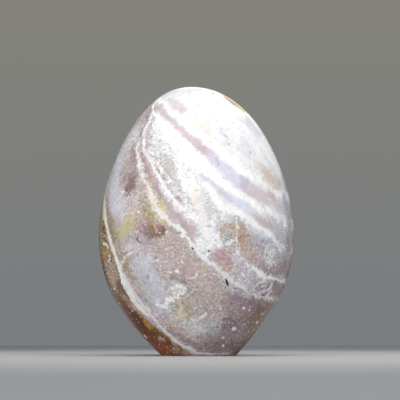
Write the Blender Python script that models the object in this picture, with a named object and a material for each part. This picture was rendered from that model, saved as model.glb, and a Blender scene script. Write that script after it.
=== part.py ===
"""A free-standing polished stone of ocean jasper, one solid piece.

It is a tall egg, fuller below its middle, flattened from front to back, with a tip that leans a little
to the left. The saw has taken off its lowest end, and it stands on that small flat cut.

Run it with: blender --background --python part.py
Metres, +Z up. The origin is in the plane of the flat cut, under the middle of the stone. -Y is the front.
"""

import math

import bmesh
import bpy
from mathutils import Vector

# Driving dimensions, in metres
HEIGHT = 0.1528
HALF_BREADTH = 0.0552
SAWN_OFF = 0.011  # how much further down the egg would reach without its flat cut
CUT_ROUND = 0.0015  # radius of the flat cut's edge, which is rounded so that it doesn't chip
TIP_LEAN = -0.0026
FOOT_LEAN = 0.0023

# Proportions of the egg
DEPTH_SHARE = 0.70  # front to back, as a share of the breadth
FRONT_BULGE = 0.05  # the front is domed by this share more than the back
CORNER_FULLNESS = 0.012  # how much fuller a level section is than an ellipse
FLANK = (-0.04, -0.20, 0.21)  # widening with height, its square and its cube
TIP_SHARPNESS = 8
FOOT_SHARPNESS = 3

# Long low swells that are left by grinding by hand: height in metres, waves along X, Y and Z, and phase
SWELLS = (
    (0.00018, Vector((3.1, 1.2, 4.0)), 0.4),
    (0.00015, Vector((-2.2, 3.4, 5.1)), 2.1),
    (0.00012, Vector((4.5, -2.6, 2.3)), 4.0),
)

FACETS = 28  # along each edge of the cube that the round facets are drawn on
ROUND_STEPS = 3
ROUND_FROM = math.radians(45)  # about the slope of the flanks where they meet the foot

REACH = (HEIGHT + SAWN_OFF) / 2
MIDDLE = HEIGHT - REACH
ROUND_HEIGHT = CUT_ROUND * (1 - math.sin(ROUND_FROM))
FOOT_LATITUDE = math.asin((ROUND_HEIGHT - MIDDLE) / REACH)


def swell(ray):
    """How far the ground surface stands proud of the plain egg there, in metres."""
    return sum(height * math.sin(waves.dot(ray) + phase) for height, waves, phase in SWELLS)


def stone_point(ray):
    """Where a point of the unit sphere goes on the polished surface."""
    up = ray.z
    around = math.atan2(ray.y, ray.x)
    flank = 1 + sum(share * up ** (power + 1) for power, share in enumerate(FLANK))
    fullness = 1 + CORNER_FULLNESS * (1 - math.cos(4 * around))
    radius = HALF_BREADTH * math.hypot(ray.x, ray.y) * flank * fullness
    lean = TIP_LEAN * max(up, 0) ** TIP_SHARPNESS + FOOT_LEAN * max(-up, 0) ** FOOT_SHARPNESS
    depth = DEPTH_SHARE * (1 - FRONT_BULGE * math.sin(around))
    point = Vector((lean + radius * math.cos(around), radius * math.sin(around) * depth, MIDDLE + REACH * up))
    return point + Vector((ray.x, ray.y, 0)) * swell(ray)


def cube_ray(corner):
    """Spreads a point of the cube over the unit sphere, with the cube's open bottom edge at the foot."""
    spread = Vector([math.tan(value * math.pi / 4) for value in corner])
    flat = math.hypot(spread.x, spread.y)
    latitude = math.atan2(spread.z, flat)
    if latitude < 0:
        edge_latitude = -math.atan2(1, flat / max(abs(spread.x), abs(spread.y)))
        latitude *= FOOT_LATITUDE / edge_latitude
    level = Vector((spread.x, spread.y, 0)).normalized() * math.cos(latitude)
    return level + Vector((0, 0, math.sin(latitude)))


def open_egg():
    """The polished surface, and the ring of edges round its open foot."""
    shape = bmesh.new()
    bmesh.ops.create_cube(shape, size=2)
    bmesh.ops.subdivide_edges(shape, edges=shape.edges[:], cuts=FACETS - 1, use_grid_fill=True)
    bottom = [face for face in shape.faces if face.normal.z < -0.9]
    bmesh.ops.delete(shape, geom=bottom, context="FACES")
    for vert in shape.verts:
        vert.co = stone_point(cube_ray(vert.co))
    return shape, [edge for edge in shape.edges if edge.is_boundary]


def close_foot(shape, ring):
    """Closes the foot with a flat face, rounds its edge in small insets and fans it into facets."""
    floor = bmesh.ops.contextual_create(shape, geom=ring)["faces"]
    bmesh.ops.recalc_face_normals(shape, faces=shape.faces[:])
    sweep = math.pi / 2 - ROUND_FROM
    turns = [ROUND_FROM + sweep * step / ROUND_STEPS for step in range(ROUND_STEPS + 1)]
    for turn, following in zip(turns, turns[1:]):
        inward = CUT_ROUND * (math.cos(turn) - math.cos(following))
        down = CUT_ROUND * (math.sin(following) - math.sin(turn))
        bmesh.ops.inset_region(shape, faces=floor, thickness=inward, depth=down, use_even_offset=True)
    bmesh.ops.poke(shape, faces=floor)
    for vert in shape.verts:
        vert.co.z = max(vert.co.z, 0)


def centre_over_origin(shape):
    """Brings the middle of the stone's breadth and depth over the origin."""
    for axis in (0, 1):
        places = [vert.co[axis] for vert in shape.verts]
        middle = (min(places) + max(places)) / 2
        for vert in shape.verts:
            vert.co[axis] -= middle


def polished_chalcedony():
    """Pale mauve-grey chalcedony with a wet polish."""
    material = bpy.data.materials.new("polished_jasper")
    material.use_nodes = True
    shader = material.node_tree.nodes["Principled BSDF"]
    shader.inputs["Base Color"].default_value = (0.56, 0.50, 0.51, 1)
    shader.inputs["Roughness"].default_value = 0.08
    shader.inputs["Metallic"].default_value = 0
    return material


def build_stone(collection):
    shape, ring = open_egg()
    close_foot(shape, ring)
    centre_over_origin(shape)
    bmesh.ops.recalc_face_normals(shape, faces=shape.faces[:])
    mesh = bpy.data.meshes.new("jasper_stone")
    shape.to_mesh(mesh)
    shape.free()
    stone = bpy.data.objects.new("jasper_stone", mesh)
    collection.objects.link(stone)
    mesh.materials.append(polished_chalcedony())
    mesh.shade_smooth()
    mesh.set_sharp_from_angle(angle=math.radians(50))


def main():
    for obj in list(bpy.data.objects):
        bpy.data.objects.remove(obj)
    collection = bpy.data.collections.new("ocean_jasper")
    bpy.context.scene.collection.children.link(collection)
    build_stone(collection)


main()
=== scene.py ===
# %% [markdown]
# # A free-standing polished stone of ocean jasper
#
# The real thing is one block of banded chalcedony, sawn flat underneath, ground to a flattened egg and
# polished until it shines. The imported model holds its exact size. This script makes the surface that is
# seen.

# %% Load the frame
import math

import bmesh
import bpy
import numpy as np
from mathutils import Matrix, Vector, noise
from mathutils.bvhtree import BVHTree


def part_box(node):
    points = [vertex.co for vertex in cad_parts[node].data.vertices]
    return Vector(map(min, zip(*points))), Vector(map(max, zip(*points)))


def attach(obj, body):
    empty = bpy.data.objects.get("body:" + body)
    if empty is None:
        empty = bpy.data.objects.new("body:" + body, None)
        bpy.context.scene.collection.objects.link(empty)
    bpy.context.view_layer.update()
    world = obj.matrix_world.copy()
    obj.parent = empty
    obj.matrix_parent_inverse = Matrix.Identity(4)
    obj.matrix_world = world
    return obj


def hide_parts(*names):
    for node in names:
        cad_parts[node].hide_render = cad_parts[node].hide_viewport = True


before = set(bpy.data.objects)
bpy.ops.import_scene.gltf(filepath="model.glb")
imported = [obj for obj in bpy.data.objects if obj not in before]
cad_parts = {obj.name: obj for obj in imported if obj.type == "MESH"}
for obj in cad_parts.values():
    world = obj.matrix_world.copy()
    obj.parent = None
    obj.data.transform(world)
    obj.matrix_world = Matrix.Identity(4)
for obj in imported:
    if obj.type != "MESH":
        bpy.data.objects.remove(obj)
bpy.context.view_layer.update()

# %% [markdown]
# ## The egg
#
# A lapidary grinds the block against a wheel by hand, so the form is a smooth egg with very low swells.
# It could be sculpted, or be a subdivided cage. Here a cube is cut into a fine grid, its bottom is taken
# off, and every point is sent to a formula's place on the egg, because a grid that comes from a cube has
# no crowded poles to wrinkle the reflections.

# %% Proportions of the egg
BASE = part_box("jasper_stone")
HEIGHT = BASE[1].z - BASE[0].z
SAWN_OFF = 0.011
CUT_ROUND = 0.0015
HALF_BREADTH = 0.0552
TIP_LEAN = -0.0026
FOOT_LEAN = 0.0023
DEPTH_SHARE = 0.70
FRONT_BULGE = 0.05
CORNER_FULLNESS = 0.012
FLANK = (-0.04, -0.20, 0.21)
TIP_SHARPNESS = 8
FOOT_SHARPNESS = 3
SWELLS = (
    (0.00018, (3.1, 1.2, 4.0), 0.4),
    (0.00015, (-2.2, 3.4, 5.1), 2.1),
    (0.00012, (4.5, -2.6, 2.3), 4.0),
)
ROUND_FROM = math.radians(45)
REACH = (HEIGHT + SAWN_OFF) / 2
MIDDLE = HEIGHT - REACH
ROUND_HEIGHT = CUT_ROUND * (1 - math.sin(ROUND_FROM))
FOOT_LATITUDE = math.asin((ROUND_HEIGHT - MIDDLE) / REACH)
print("half of the whole egg, mm:", round(1000 * REACH, 1))

# %% The formula of the egg
TINY = 1e-9  # keeps a division from failing at the pole


def cube_rays(corners):
    """Spreads points of the cube over the unit sphere, with its open bottom edge at the foot."""
    spread = np.tan(corners * math.pi / 4)
    flat = np.hypot(spread[:, 0], spread[:, 1])
    latitude = np.arctan2(spread[:, 2], flat)
    widest = np.maximum(abs(spread[:, 0]), abs(spread[:, 1]))
    edge_latitude = np.arctan2(1, flat / np.maximum(widest, TINY))
    below = latitude < 0
    latitude[below] *= -FOOT_LATITUDE / edge_latitude[below]
    level = spread[:, :2] / np.maximum(flat, TINY)[:, None]
    return np.column_stack([level * np.cos(latitude)[:, None], np.sin(latitude)])


def egg_points(rays):
    """Where points of the unit sphere go on the polished surface."""
    up = rays[:, 2]
    around = np.arctan2(rays[:, 1], rays[:, 0])
    flank = 1 + sum(share * up ** (power + 1) for power, share in enumerate(FLANK))
    fullness = 1 + CORNER_FULLNESS * (1 - np.cos(4 * around))
    radius = HALF_BREADTH * np.hypot(rays[:, 0], rays[:, 1]) * flank * fullness
    tip = TIP_LEAN * np.maximum(up, 0) ** TIP_SHARPNESS
    foot = FOOT_LEAN * np.maximum(-up, 0) ** FOOT_SHARPNESS
    depth = DEPTH_SHARE * (1 - FRONT_BULGE * np.sin(around))
    proud = sum(height * np.sin(rays @ np.array(waves) + phase) for height, waves, phase in SWELLS)
    across = tip + foot + radius * np.cos(around)
    points = np.column_stack([across, radius * np.sin(around) * depth, MIDDLE + REACH * up])
    points[:, :2] += rays[:, :2] * proud[:, None]
    points[:, :2] -= (points[:, :2].min(axis=0) + points[:, :2].max(axis=0)) / 2
    return points


POLES = np.array([[0.0, 0.0, 1.0], [0.0, 0.0, math.sin(FOOT_LATITUDE)]])
print("tip and foot, mm:", (1000 * egg_points(POLES)[:, 2]).round(1))

# %% Cut the grid and move it to the egg
CUTS = (72, 50, 132)  # across, front to back, upright
BOTTOM_OF_CUBE = -0.999


def cut_along(shape, axis, cuts):
    """Cuts every edge that still runs the cube's whole length along that axis."""
    along = [edge for edge in shape.edges if abs((edge.verts[1].co - edge.verts[0].co)[axis]) > 1]
    bmesh.ops.subdivide_edges(shape, edges=along, cuts=cuts - 1, use_grid_fill=True)


def read_points(shape):
    return np.array([vert.co for vert in shape.verts])


def write_points(shape, points):
    for vert, point in zip(shape.verts, points):
        vert.co = point


egg = bmesh.new()
bmesh.ops.create_cube(egg, size=2)
for axis, cuts in enumerate(CUTS):
    cut_along(egg, axis, cuts)
bottom = [face for face in egg.faces if face.calc_center_median().z < BOTTOM_OF_CUBE]
bmesh.ops.delete(egg, geom=bottom, context="FACES")
write_points(egg, egg_points(cube_rays(read_points(egg))))
ring = [edge for edge in egg.edges if edge.is_boundary]
print("grid:", len(egg.verts), "points,", len(egg.faces), "faces,", len(ring), "edges round the foot")

# %% Close and round the foot
ROUND_STEPS = 3
floor_face = bmesh.ops.contextual_create(egg, geom=ring)["faces"]
bmesh.ops.recalc_face_normals(egg, faces=egg.faces[:])
turns = [ROUND_FROM + (math.pi / 2 - ROUND_FROM) * step / ROUND_STEPS for step in range(ROUND_STEPS + 1)]
for turn, following in zip(turns, turns[1:]):
    inward = CUT_ROUND * (math.cos(turn) - math.cos(following))
    down = CUT_ROUND * (math.sin(following) - math.sin(turn))
    bmesh.ops.inset_region(egg, faces=floor_face, thickness=inward, depth=down, use_even_offset=True)
bmesh.ops.poke(egg, faces=floor_face)
print("closed:", all(edge.is_manifold for edge in egg.edges))

# %% [markdown]
# ## Camera
#
# The camera comes before the markings, because they are laid where the photograph shows them. It stands
# low and looks up a little, so the top of the stone is hardly seen and the foot is cut off in a straight
# line.

# %% Camera
PIXEL = 0.152 / 268  # metres of stone to a pixel of the photograph
PHOTO_MIDDLE = 200
PHOTO_FOOT = 354.5
PHOTO_AXIS = 196.5
CAMERA_DISTANCE = 0.70
CAMERA_HEIGHT = 0.010
SENSOR = 36

aim = Vector(((PHOTO_MIDDLE - PHOTO_AXIS) * PIXEL, 0, (PHOTO_FOOT - PHOTO_MIDDLE) * PIXEL))
eye = Vector((aim.x, -CAMERA_DISTANCE, CAMERA_HEIGHT))
focal_pixels = (aim - eye).length / PIXEL
facing = (aim - eye).to_track_quat("-Z", "Y")
camera_data = bpy.data.cameras.new("camera")
camera_data.sensor_width = SENSOR
camera_data.lens = SENSOR * focal_pixels / (2 * PHOTO_MIDDLE)
camera = bpy.data.objects.new("camera", camera_data)
camera.location = eye
camera.rotation_euler = facing.to_euler()
bpy.context.scene.collection.objects.link(camera)
bpy.context.scene.camera = camera
print("lens, mm:", round(camera_data.lens, 1))

# %% [markdown]
# ## A finer grid where the stone is seen
#
# The markings are stored on the points of the grid, so the grid is what limits how fine they can be. The
# side that the camera sees follows the photograph and gets cells of 0.6 mm. The back keeps cells of 1.2
# mm.

# %% Halve the cells of the seen side
SEEN_MARGIN = -0.12  # also takes in a little of what lies past the outline
STRAIGHT_DOWN = -0.99
seen_edges = set()
for face in egg.faces:
    to_eye = (eye - face.calc_center_median()).normalized()
    if face.normal.dot(to_eye) > SEEN_MARGIN and face.normal.z > STRAIGHT_DOWN:
        seen_edges.update(face.edges)
bmesh.ops.subdivide_edges(egg, edges=list(seen_edges), cuts=1, use_grid_fill=True)
print("finer:", len(egg.faces), "faces")

# %% [markdown]
# ## Laying a mark on the stone
#
# Ocean jasper is agate that grew in layers round the walls of a cavity, and was then cracked, stained and
# healed more than once. So it has broad soft grounds, bands, thin white veins, stains and small crystal
# pockets, in that order. Noise alone would give some agate, but not this one. Each mark is a brush stroke
# instead: a few places in the photograph with the half width there, in pixels. The stroke is smoothed,
# thrown from the camera on to the stone, and then works in real distances, so it can also run round to
# the back.

# %% Find the place on the stone under a pixel
surface = BVHTree.FromBMesh(egg)
BEHIND = 1.0


def seen_place(x, y):
    """The point of the stone that shows at that pixel, or the nearest, its normal and the sight line."""
    sight = facing @ Vector((x - PHOTO_MIDDLE, PHOTO_MIDDLE - y, -focal_pixels)).normalized()
    hit, normal = surface.ray_cast(eye, sight)[:2]
    if hit is None:
        hit, normal = surface.find_nearest(eye + sight * -eye.y / sight.y)[:2]
    return hit, normal, sight


def hidden_place(x, y):
    """The point at the back, behind that pixel."""
    start = Vector(((x - PHOTO_AXIS) * PIXEL, BEHIND, (PHOTO_FOOT - y) * PIXEL))
    sight = Vector((0, -1, 0))
    hit, normal = surface.ray_cast(start, sight)[:2]
    if hit is None:
        hit, normal = surface.find_nearest(start * Vector((1, 0, 1)))[:2]
    return hit, normal, sight


print("the middle of the photograph is at", [round(share, 3) for share in seen_place(200, 200)[0]])

# %% Throw a smooth stroke on to the stone
MOST_STRETCH = 2.5  # how much wider a stroke gets where the stone turns away
LEAST_FACING = -0.1
FINE_CELL = 0.0006


def smooth_run(rows):
    """A curve through the rows of x, y and half width, in steps of a pixel or a third of the width."""
    rows = np.array(rows, dtype=float)
    if len(rows) == 1:
        return rows
    rows = np.vstack([2 * rows[0] - rows[1], rows, 2 * rows[-1] - rows[-2]])
    places = []
    for before, start, end, after in zip(rows, rows[1:], rows[2:], rows[3:]):
        step = max(1, start[2] / 3)
        count = max(1, round(math.hypot(*(end - start)[:2]) / step))
        share = np.arange(count)[:, None] / count
        bend = 2 * before - 5 * start + 4 * end - after
        twist = 3 * start - before - 3 * end + after
        places.append(start + share * ((end - before) + share * (bend + share * twist)) / 2)
    return np.vstack(places + [rows[-2:-1]])


def thrown(rows, place):
    """The spots and real half widths of a stroke on the stone, in metres."""
    run = smooth_run(rows)
    ways = np.gradient(run[:, :2], axis=0) if len(run) > 1 else np.array([[1.0, 0.0]])
    spots = []
    for (x, y, half), (way_x, way_y) in zip(run, ways):
        hit, normal, sight = place(x, y)
        side = Vector((way_y, 0, way_x)).normalized()
        slant = side.dot(normal) / min(sight.dot(normal), LEAST_FACING)
        spots.append((*hit, half * PIXEL * min(math.hypot(1, slant), MOST_STRETCH)))
    return spots


def stroke(seen=(), hidden=()):
    """Joins the seen and the hidden part of a stroke, and fills in the gap where it passes the outline."""
    spots = []
    if len(seen):
        spots += thrown(seen, seen_place)
    if len(hidden):
        spots += thrown(hidden, hidden_place)
    spots = np.array(spots)
    filled = [spots[:1]]
    for start, end in zip(spots, spots[1:]):
        gap = np.linalg.norm(end[:3] - start[:3])
        count = max(1, round(gap / max(FINE_CELL, start[3] / 3)))
        between = start + (end - start) * np.arange(1, count + 1)[:, None] / count
        if count > 2:
            between[:, :3] = [surface.find_nearest(Vector(place[:3]))[0] for place in between]
        filled.append(between)
    return np.vstack(filled)


def tell_length(name, seen=(), hidden=()):
    """Prints how long a stroke is on the stone."""
    steps = np.diff(stroke(seen, hidden)[:, :3], axis=0)
    print(name, "is", round(1000 * float(np.linalg.norm(steps, axis=1).sum())), "mm long")


tell_length("a line from the tip to the foot", [(196, 90, 1), (196, 350, 1)])

# %% How far inside a stroke a point lies
def inside(points, spots):
    """How far inside the stroke each point is, in metres, and how far along it, from 0 to 1."""
    depth = np.full(len(points), -1.0)
    along = np.zeros(len(points))
    for index, spot in enumerate(spots):
        here = spot[3] - np.linalg.norm(points - spot[:3], axis=1)
        better = here > depth
        depth[better] = here[better]
        along[better] = index / max(1, len(spots) - 1)
    return depth, along


def ease(low, high, values):
    """0 up to low, 1 from high, and a smooth rise between."""
    share = np.clip((values - low) / (high - low), 0, 1)
    return share * share * (3 - 2 * share)


print("a quarter of the way, eased:", ease(0, 1, np.array([0.25])))

# %% [markdown]
# ## Pits
#
# Polishing opens small hollows between the crystals. They are real holes, so they are cut in the mesh:
# the cells there are made finer, and their points are pushed in along a bowl.

# %% Pits and slits
# name: depth in mm, then places with half widths in pixels
PITS = {
    "slit": (1.3, [(226.0, 279.5, 0.8), (227.2, 282.5, 1.3), (228.2, 286.0, 0.8)]),
    "hooked pit": (0.7, [(138.4, 236.5, 0.6), (136.8, 239.2, 0.8), (138, 242, 0.8), (141, 242.8, 0.7)]),
    "vein pit": (0.9, [(193, 249, 1.2)]),
    "crest pit": (0.9, [(209, 251.3, 1.3)]),
    "crest dot": (0.5, [(203.6, 253.7, 0.8)]),
    "edge pit": (1.0, [(262.6, 295.2, 0.8), (264.6, 295.4, 1.0)]),
    "notch": (0.6, [(234.5, 288.4, 1.0), (236.5, 289.0, 0.9)]),
    "notch end": (0.5, [(240.2, 290.4, 0.8)]),
    "upper dot": (0.5, [(178.5, 151.4, 0.8)]),
    "right dot": (0.5, [(266.3, 159.6, 0.7)]),
    "blue dot": (0.4, [(241.4, 166.6, 0.7)]),
    "band dot": (0.4, [(223.4, 178.3, 0.7)]),
    "tongue dot": (0.4, [(197.3, 190.6, 0.8)]),
    "foot pit": (0.5, [(217.6, 328.0, 1.0)]),
    "pocket dot": (0.6, [(243.6, 279.0, 0.9)]),
    "lobe pit": (0.5, [(147.3, 276.0, 1.0)]),
}
FAR_PITS = {
    "far slit": (1.2, [(244, 292, 0.8), (246, 296, 1.3), (247, 300, 0.8)]),
    "far pit": (0.9, [(206, 268, 1.3)]),
    "far dot": (0.6, [(176, 200, 0.9)]),
    "far low dot": (0.7, [(222, 334, 1.0)]),
    "far pocket pit": (1.2, [(230, 246, 1.6), (234, 248, 1.4)]),
    "far rind pit": (0.9, [(154, 290, 1.2)]),
    "far crown dot": (0.5, [(216, 128, 0.9)]),
}
pit_runs = [(depth / 1000, stroke(rows)) for depth, rows in PITS.values()]
pit_runs += [(depth / 1000, stroke(hidden=rows)) for depth, rows in FAR_PITS.values()]
print("pits:", len(pit_runs), "the deepest, mm:", 1000 * max(depth for depth, spots in pit_runs))

# %% Sink the pits
PIT_CUTS = 2
PIT_RIM = 0.0007
PIT_SOFT = 0.00025


def near_pits(shape):
    """The edges of every face that lies in or next to a pit."""
    centres = np.array([face.calc_center_median() for face in shape.faces])
    close = np.zeros(len(centres), dtype=bool)
    for depth, spots in pit_runs:
        close |= inside(centres, spots)[0] > -PIT_RIM
    return {edge for face, wanted in zip(shape.faces, close) if wanted for edge in face.edges}


bmesh.ops.subdivide_edges(egg, edges=list(near_pits(egg)), cuts=PIT_CUTS, use_grid_fill=True)
points = read_points(egg)
inward = -np.array([vert.normal for vert in egg.verts])
pit_depth = np.zeros(len(points))
for depth, spots in pit_runs:
    bowl = ease(-PIT_SOFT, spots[:, 3].max(), inside(points, spots)[0]) * depth
    pit_depth = np.maximum(pit_depth, bowl)
write_points(egg, points + inward * pit_depth[:, None])
print("points with the pits:", len(egg.verts))

# %% [markdown]
# ### Named shades and brushes
#
# Ocean jasper is mostly colourless chalcedony, and traces of iron, manganese and clay give it pinks,
# violets, creams and greens. The shades could be ramps over a noise, but then no band would have its own
# colour. So each colour has a plain name, and a brush lays it with an edge that can be soft, ragged or
# patchy. A vein keeps its depth instead of a colour, so that the material can draw its edge more sharply
# than the grid could.

# %% Named shades
# red, green and blue from 0 to 255, as they look in even light
SHADES = {
    "snow white": (250, 250, 251),
    "white": (246, 246, 248),
    "bone": (240, 233, 218),
    "blush white": (236, 229, 232),
    "pale mauve": (216, 206, 211),
    "lilac": (206, 201, 220),
    "tongue": (240, 235, 230),
    "cream": (240, 230, 214),
    "pearl": (234, 233, 237),
    "milk": (222, 222, 225),
    "cool milk": (210, 213, 214),
    "ice": (224, 226, 240),
    "haze": (208, 209, 217),
    "mist": (192, 194, 201),
    "blue grey": (184, 186, 197),
    "violet": (188, 180, 199),
    "lavender": (199, 197, 204),
    "smoke": (184, 180, 191),
    "rose": (197, 184, 190),
    "pink": (198, 177, 181),
    "greige": (184, 176, 174),
    "blush": (213, 201, 206),
    "mauve": (184, 160, 169),
    "deep mauve": (188, 154, 166),
    "plum": (150, 129, 140),
    "dark plum": (112, 88, 97),
    "taupe": (194, 179, 176),
    "beige": (203, 186, 174),
    "warm grey": (163, 148, 148),
    "dusty": (170, 153, 152),
    "brown mauve": (138, 116, 114),
    "tan": (192, 168, 153),
    "sand": (211, 195, 184),
    "straw": (214, 205, 172),
    "yellow green": (178, 171, 120),
    "lime": (196, 192, 124),
    "pale lime": (200, 195, 156),
    "olive": (158, 146, 116),
    "dark olive": (118, 92, 60),
    "ochre": (166, 126, 92),
    "gold": (204, 156, 72),
    "amber": (168, 112, 36),
    "rust": (146, 82, 48),
    "brown": (124, 76, 40),
    "dark brown": (92, 46, 10),
    "grey": (196, 197, 197),
    "moss grey": (166, 169, 165),
    "dark grey": (126, 122, 124),
    "red": (186, 92, 62),
    "crown green": (150, 146, 44),
    "crown red": (160, 50, 30),
}


def linear(name):
    """The light that a colour sends back, which is what materials work in."""
    share = np.array(SHADES[name]) / 255
    return np.where(share <= 0.04045, share / 12.92, ((share + 0.055) / 1.055) ** 2.4)


def shade_along(shades, along):
    """The light of the shades joined by plus signs, which follow each other along the stroke."""
    stops = np.array([linear(shade) for shade in shades.split("+")])
    place = along * (len(stops) - 1)
    first = np.minimum(place.astype(int), max(0, len(stops) - 2))
    second = np.minimum(first + 1, len(stops) - 1)
    blend = (place - first)[:, None]
    return stops[first] * (1 - blend) + stops[second] * blend


print("shades:", len(SHADES), "and halfway to plum:", shade_along("milk+plum", np.array([0.5])).round(2))

# %% What each point carries
NO_VEIN = -3.0  # millimetres inside the nearest white vein
NOISE_SEED = 1795641419  # any number does, but without one the noise follows the clock
noise.seed_set(NOISE_SEED)


def drift(length, seed):
    """A push for each point that changes smoothly over about that length, in metres."""
    offset = Vector((seed, 0, 0))
    return np.array([noise.noise_vector(Vector(point) / length + offset) for point in points])


sway = drift(0.012, 3)
fray = drift(0.0045, 7) + 0.8 * drift(0.0022, 11) + 0.7 * drift(0.0013, 13)
cloud = 0.5 + 0.5 * (drift(0.005, 19) + 0.6 * drift(0.0022, 23) + 0.5 * drift(0.0013, 29))[:, 0]
colour = np.tile(linear("taupe"), (len(points), 1))
vein_depth = np.full(len(points), NO_VEIN)
vein_colour = np.tile(linear("white"), (len(points), 1))
crystals = np.zeros(len(points))
speckle = np.full(len(points), 1.0)
print("the grain pushes points by up to", round(float(abs(fray).max()), 2), "times a stroke's raggedness")

# %% The brush
PATCH_EDGE = 0.2
laid = []


def near(spots, margin):
    """The points in the box round a stroke."""
    low = (spots[:, :3] - spots[:, 3:]).min(axis=0) - margin
    high = (spots[:, :3] + spots[:, 3:]).max(axis=0) + margin
    return np.flatnonzero(((points > low) & (points < high)).all(axis=1))


def cover_of(spots, soft, ragged, patchy):
    """Which points a stroke covers, by how much, and how far along it they are."""
    close = near(spots, (soft + 2 * ragged) * PIXEL)
    pushed = points[close] + (fray[close] + sway[close]) * ragged * PIXEL
    depth, along = inside(pushed, spots)
    cover = ease(-soft * PIXEL, soft * PIXEL, depth)
    if patchy:
        cover *= ease(patchy - PATCH_EDGE, patchy + PATCH_EDGE, cloud[close])
    return close, cover, along


def mark(name, shades, seen=(), hidden=(), soft=2.0, cover=1.0, ragged=2.0, patchy=0.0):
    """Lays a stroke of one shade, or of several that follow each other along it."""
    laid.append(name)
    close, share, along = cover_of(stroke(seen, hidden), soft, ragged, patchy)
    colour[close] += (shade_along(shades, along) - colour[close]) * (share * cover)[:, None]


def vein(name, shades, seen=(), hidden=(), ragged=1.0, lumps=2.5, reach=3.0):
    """Keeps how deep each point lies in a thin white vein, so that the material can draw its edge."""
    laid.append(name)
    spots = stroke(seen, hidden)
    close = near(spots, reach / 1000)
    depth, along = inside(points[close] + fray[close] * ragged * PIXEL, spots)
    depth = (depth + (cloud[close] - 0.5) * lumps * PIXEL) * 1000
    deeper = depth > vein_depth[close]
    vein_depth[close[deeper]] = depth[deeper]
    vein_colour[close[deeper]] = shade_along(shades, along[deeper])


def widened(rows, extra):
    """The same stroke, wider on each side."""
    return [(x, y, half + extra) for x, y, half in rows]


def texture(name, field, amount, seen=(), hidden=(), soft=4.0):
    """Sets how strong the crystals or the speckle are there."""
    laid.append(name)
    close, share, along = cover_of(stroke(seen, hidden), soft, 2.0, 0.0)
    field[close] += (amount - field[close]) * share


def tell(step):
    """Prints how many strokes are laid by now, and how light the stone has become."""
    print(f"{step}: {len(laid)} strokes, mean light {colour.mean():.3f}")


tell("bare stone")

# %% [markdown]
# ### Sides and back
#
# The photograph shows only the front. On the real stone the same layers, veins and stains go right
# through the block, so each one is carried round: a layer that leaves the front at the right comes back
# over the far side, a little lower, and the brown rind at the left widens behind. Its small round orbs
# are what ocean jasper is best known for.

# %% Back: grounds
mark("far crown", "milk", hidden=[(178, 100, 14), (212, 104, 22), (244, 134, 20), (262, 165, 14)], soft=8)
mark("far milk", "milk", hidden=[(170, 118, 8), (196, 150, 16), (226, 176, 18), (256, 196, 14),
    (276, 214, 8)], soft=8)
mark("far edge", "lavender", hidden=[(286, 196, 8), (290, 225, 10), (286, 255, 10), (278, 280, 8)], soft=8)
mark("far shoulder", "greige", hidden=[(150, 112, 8), (136, 132, 11), (124, 154, 12)], soft=6)
mark("far flank", "lavender", hidden=[(118, 160, 8), (112, 178, 8)], soft=6)
mark("far field", "beige", hidden=[(190, 240, 16), (214, 262, 18), (236, 286, 14)], soft=14, cover=0.6,
    ragged=5)
mark("far lobe", "lavender", hidden=[(160, 215, 9), (172, 236, 13), (186, 262, 12), (200, 284, 8)],
    soft=5, ragged=5)
mark("far lobe light", "haze", hidden=[(164, 222, 5), (176, 242, 7), (188, 262, 5)], soft=5, cover=0.8,
    ragged=5)
mark("far dusk", "plum", hidden=[(236, 306, 10), (252, 316, 10), (262, 300, 9)], soft=8, cover=0.7,
    ragged=5)
mark("far foot", "brown mauve", hidden=[(205, 340, 9), (226, 344, 9), (244, 342, 7)], soft=7, cover=0.8,
    ragged=5)
mark("far pool", "mist", hidden=[(222, 316, 7), (232, 326, 7)], soft=6, cover=0.9, ragged=4)
tell("back: grounds")

# %% Back: the brown rind
mark("far rind", "olive+tan+ochre+brown", hidden=[(106, 206, 6), (112, 236, 14), (124, 270, 22),
    (146, 306, 24), (172, 338, 22)], soft=5, ragged=4)
mark("far rind heart", "brown+dark brown+dark brown", hidden=[(104, 250, 8), (116, 284, 12),
    (138, 318, 14), (160, 344, 12)], soft=7, ragged=5)
mark("far rind gold", "gold", hidden=[(118, 244, 4), (132, 272, 5), (150, 298, 5), (172, 322, 6)], soft=4,
    cover=0.8, ragged=5, patchy=0.45)
mark("far rind grey", "moss grey", hidden=[(122, 226, 3), (140, 256, 4), (162, 290, 4)], soft=4,
    cover=0.8, ragged=5)
tell("back: the brown rind")

# %% Back: over the two sides
FAR_RIGHT = [
    (222, 92, 7), (246, 108, 7), (266, 132, 7), (280, 160, 7), (288, 186, 7), (294, 215, 7),
    (296, 240, 7), (292, 266, 7), (287, 288, 7), (275, 308, 7), (261, 328, 7), (246, 346, 7),
]
FAR_LEFT = [
    (170, 90, 7), (150, 104, 7), (128, 128, 7), (112, 158, 7), (102, 190, 7), (98, 215, 7), (97, 245, 7),
    (100, 270, 7), (108, 295, 7), (128, 322, 7), (150, 350, 7),
]
mark("right side", "milk+milk+milk+cool milk+haze+mist+lavender+mist+smoke+plum+plum+brown mauve+brown",
    hidden=FAR_RIGHT, soft=8)
mark("left side", "milk+greige+haze+lavender+lavender+olive+ochre+brown+dark brown+dark brown+brown",
    hidden=FAR_LEFT, soft=8)
tell("back: over the two sides")

# %% [markdown]
# ### Bands at the back
#
# The agate bands are layers, so they come out at the back too. They could be drawn afresh there, but here
# each one starts where a band of the front leaves at the right, and runs up over the back as a sheet cut
# by the egg would.

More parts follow.
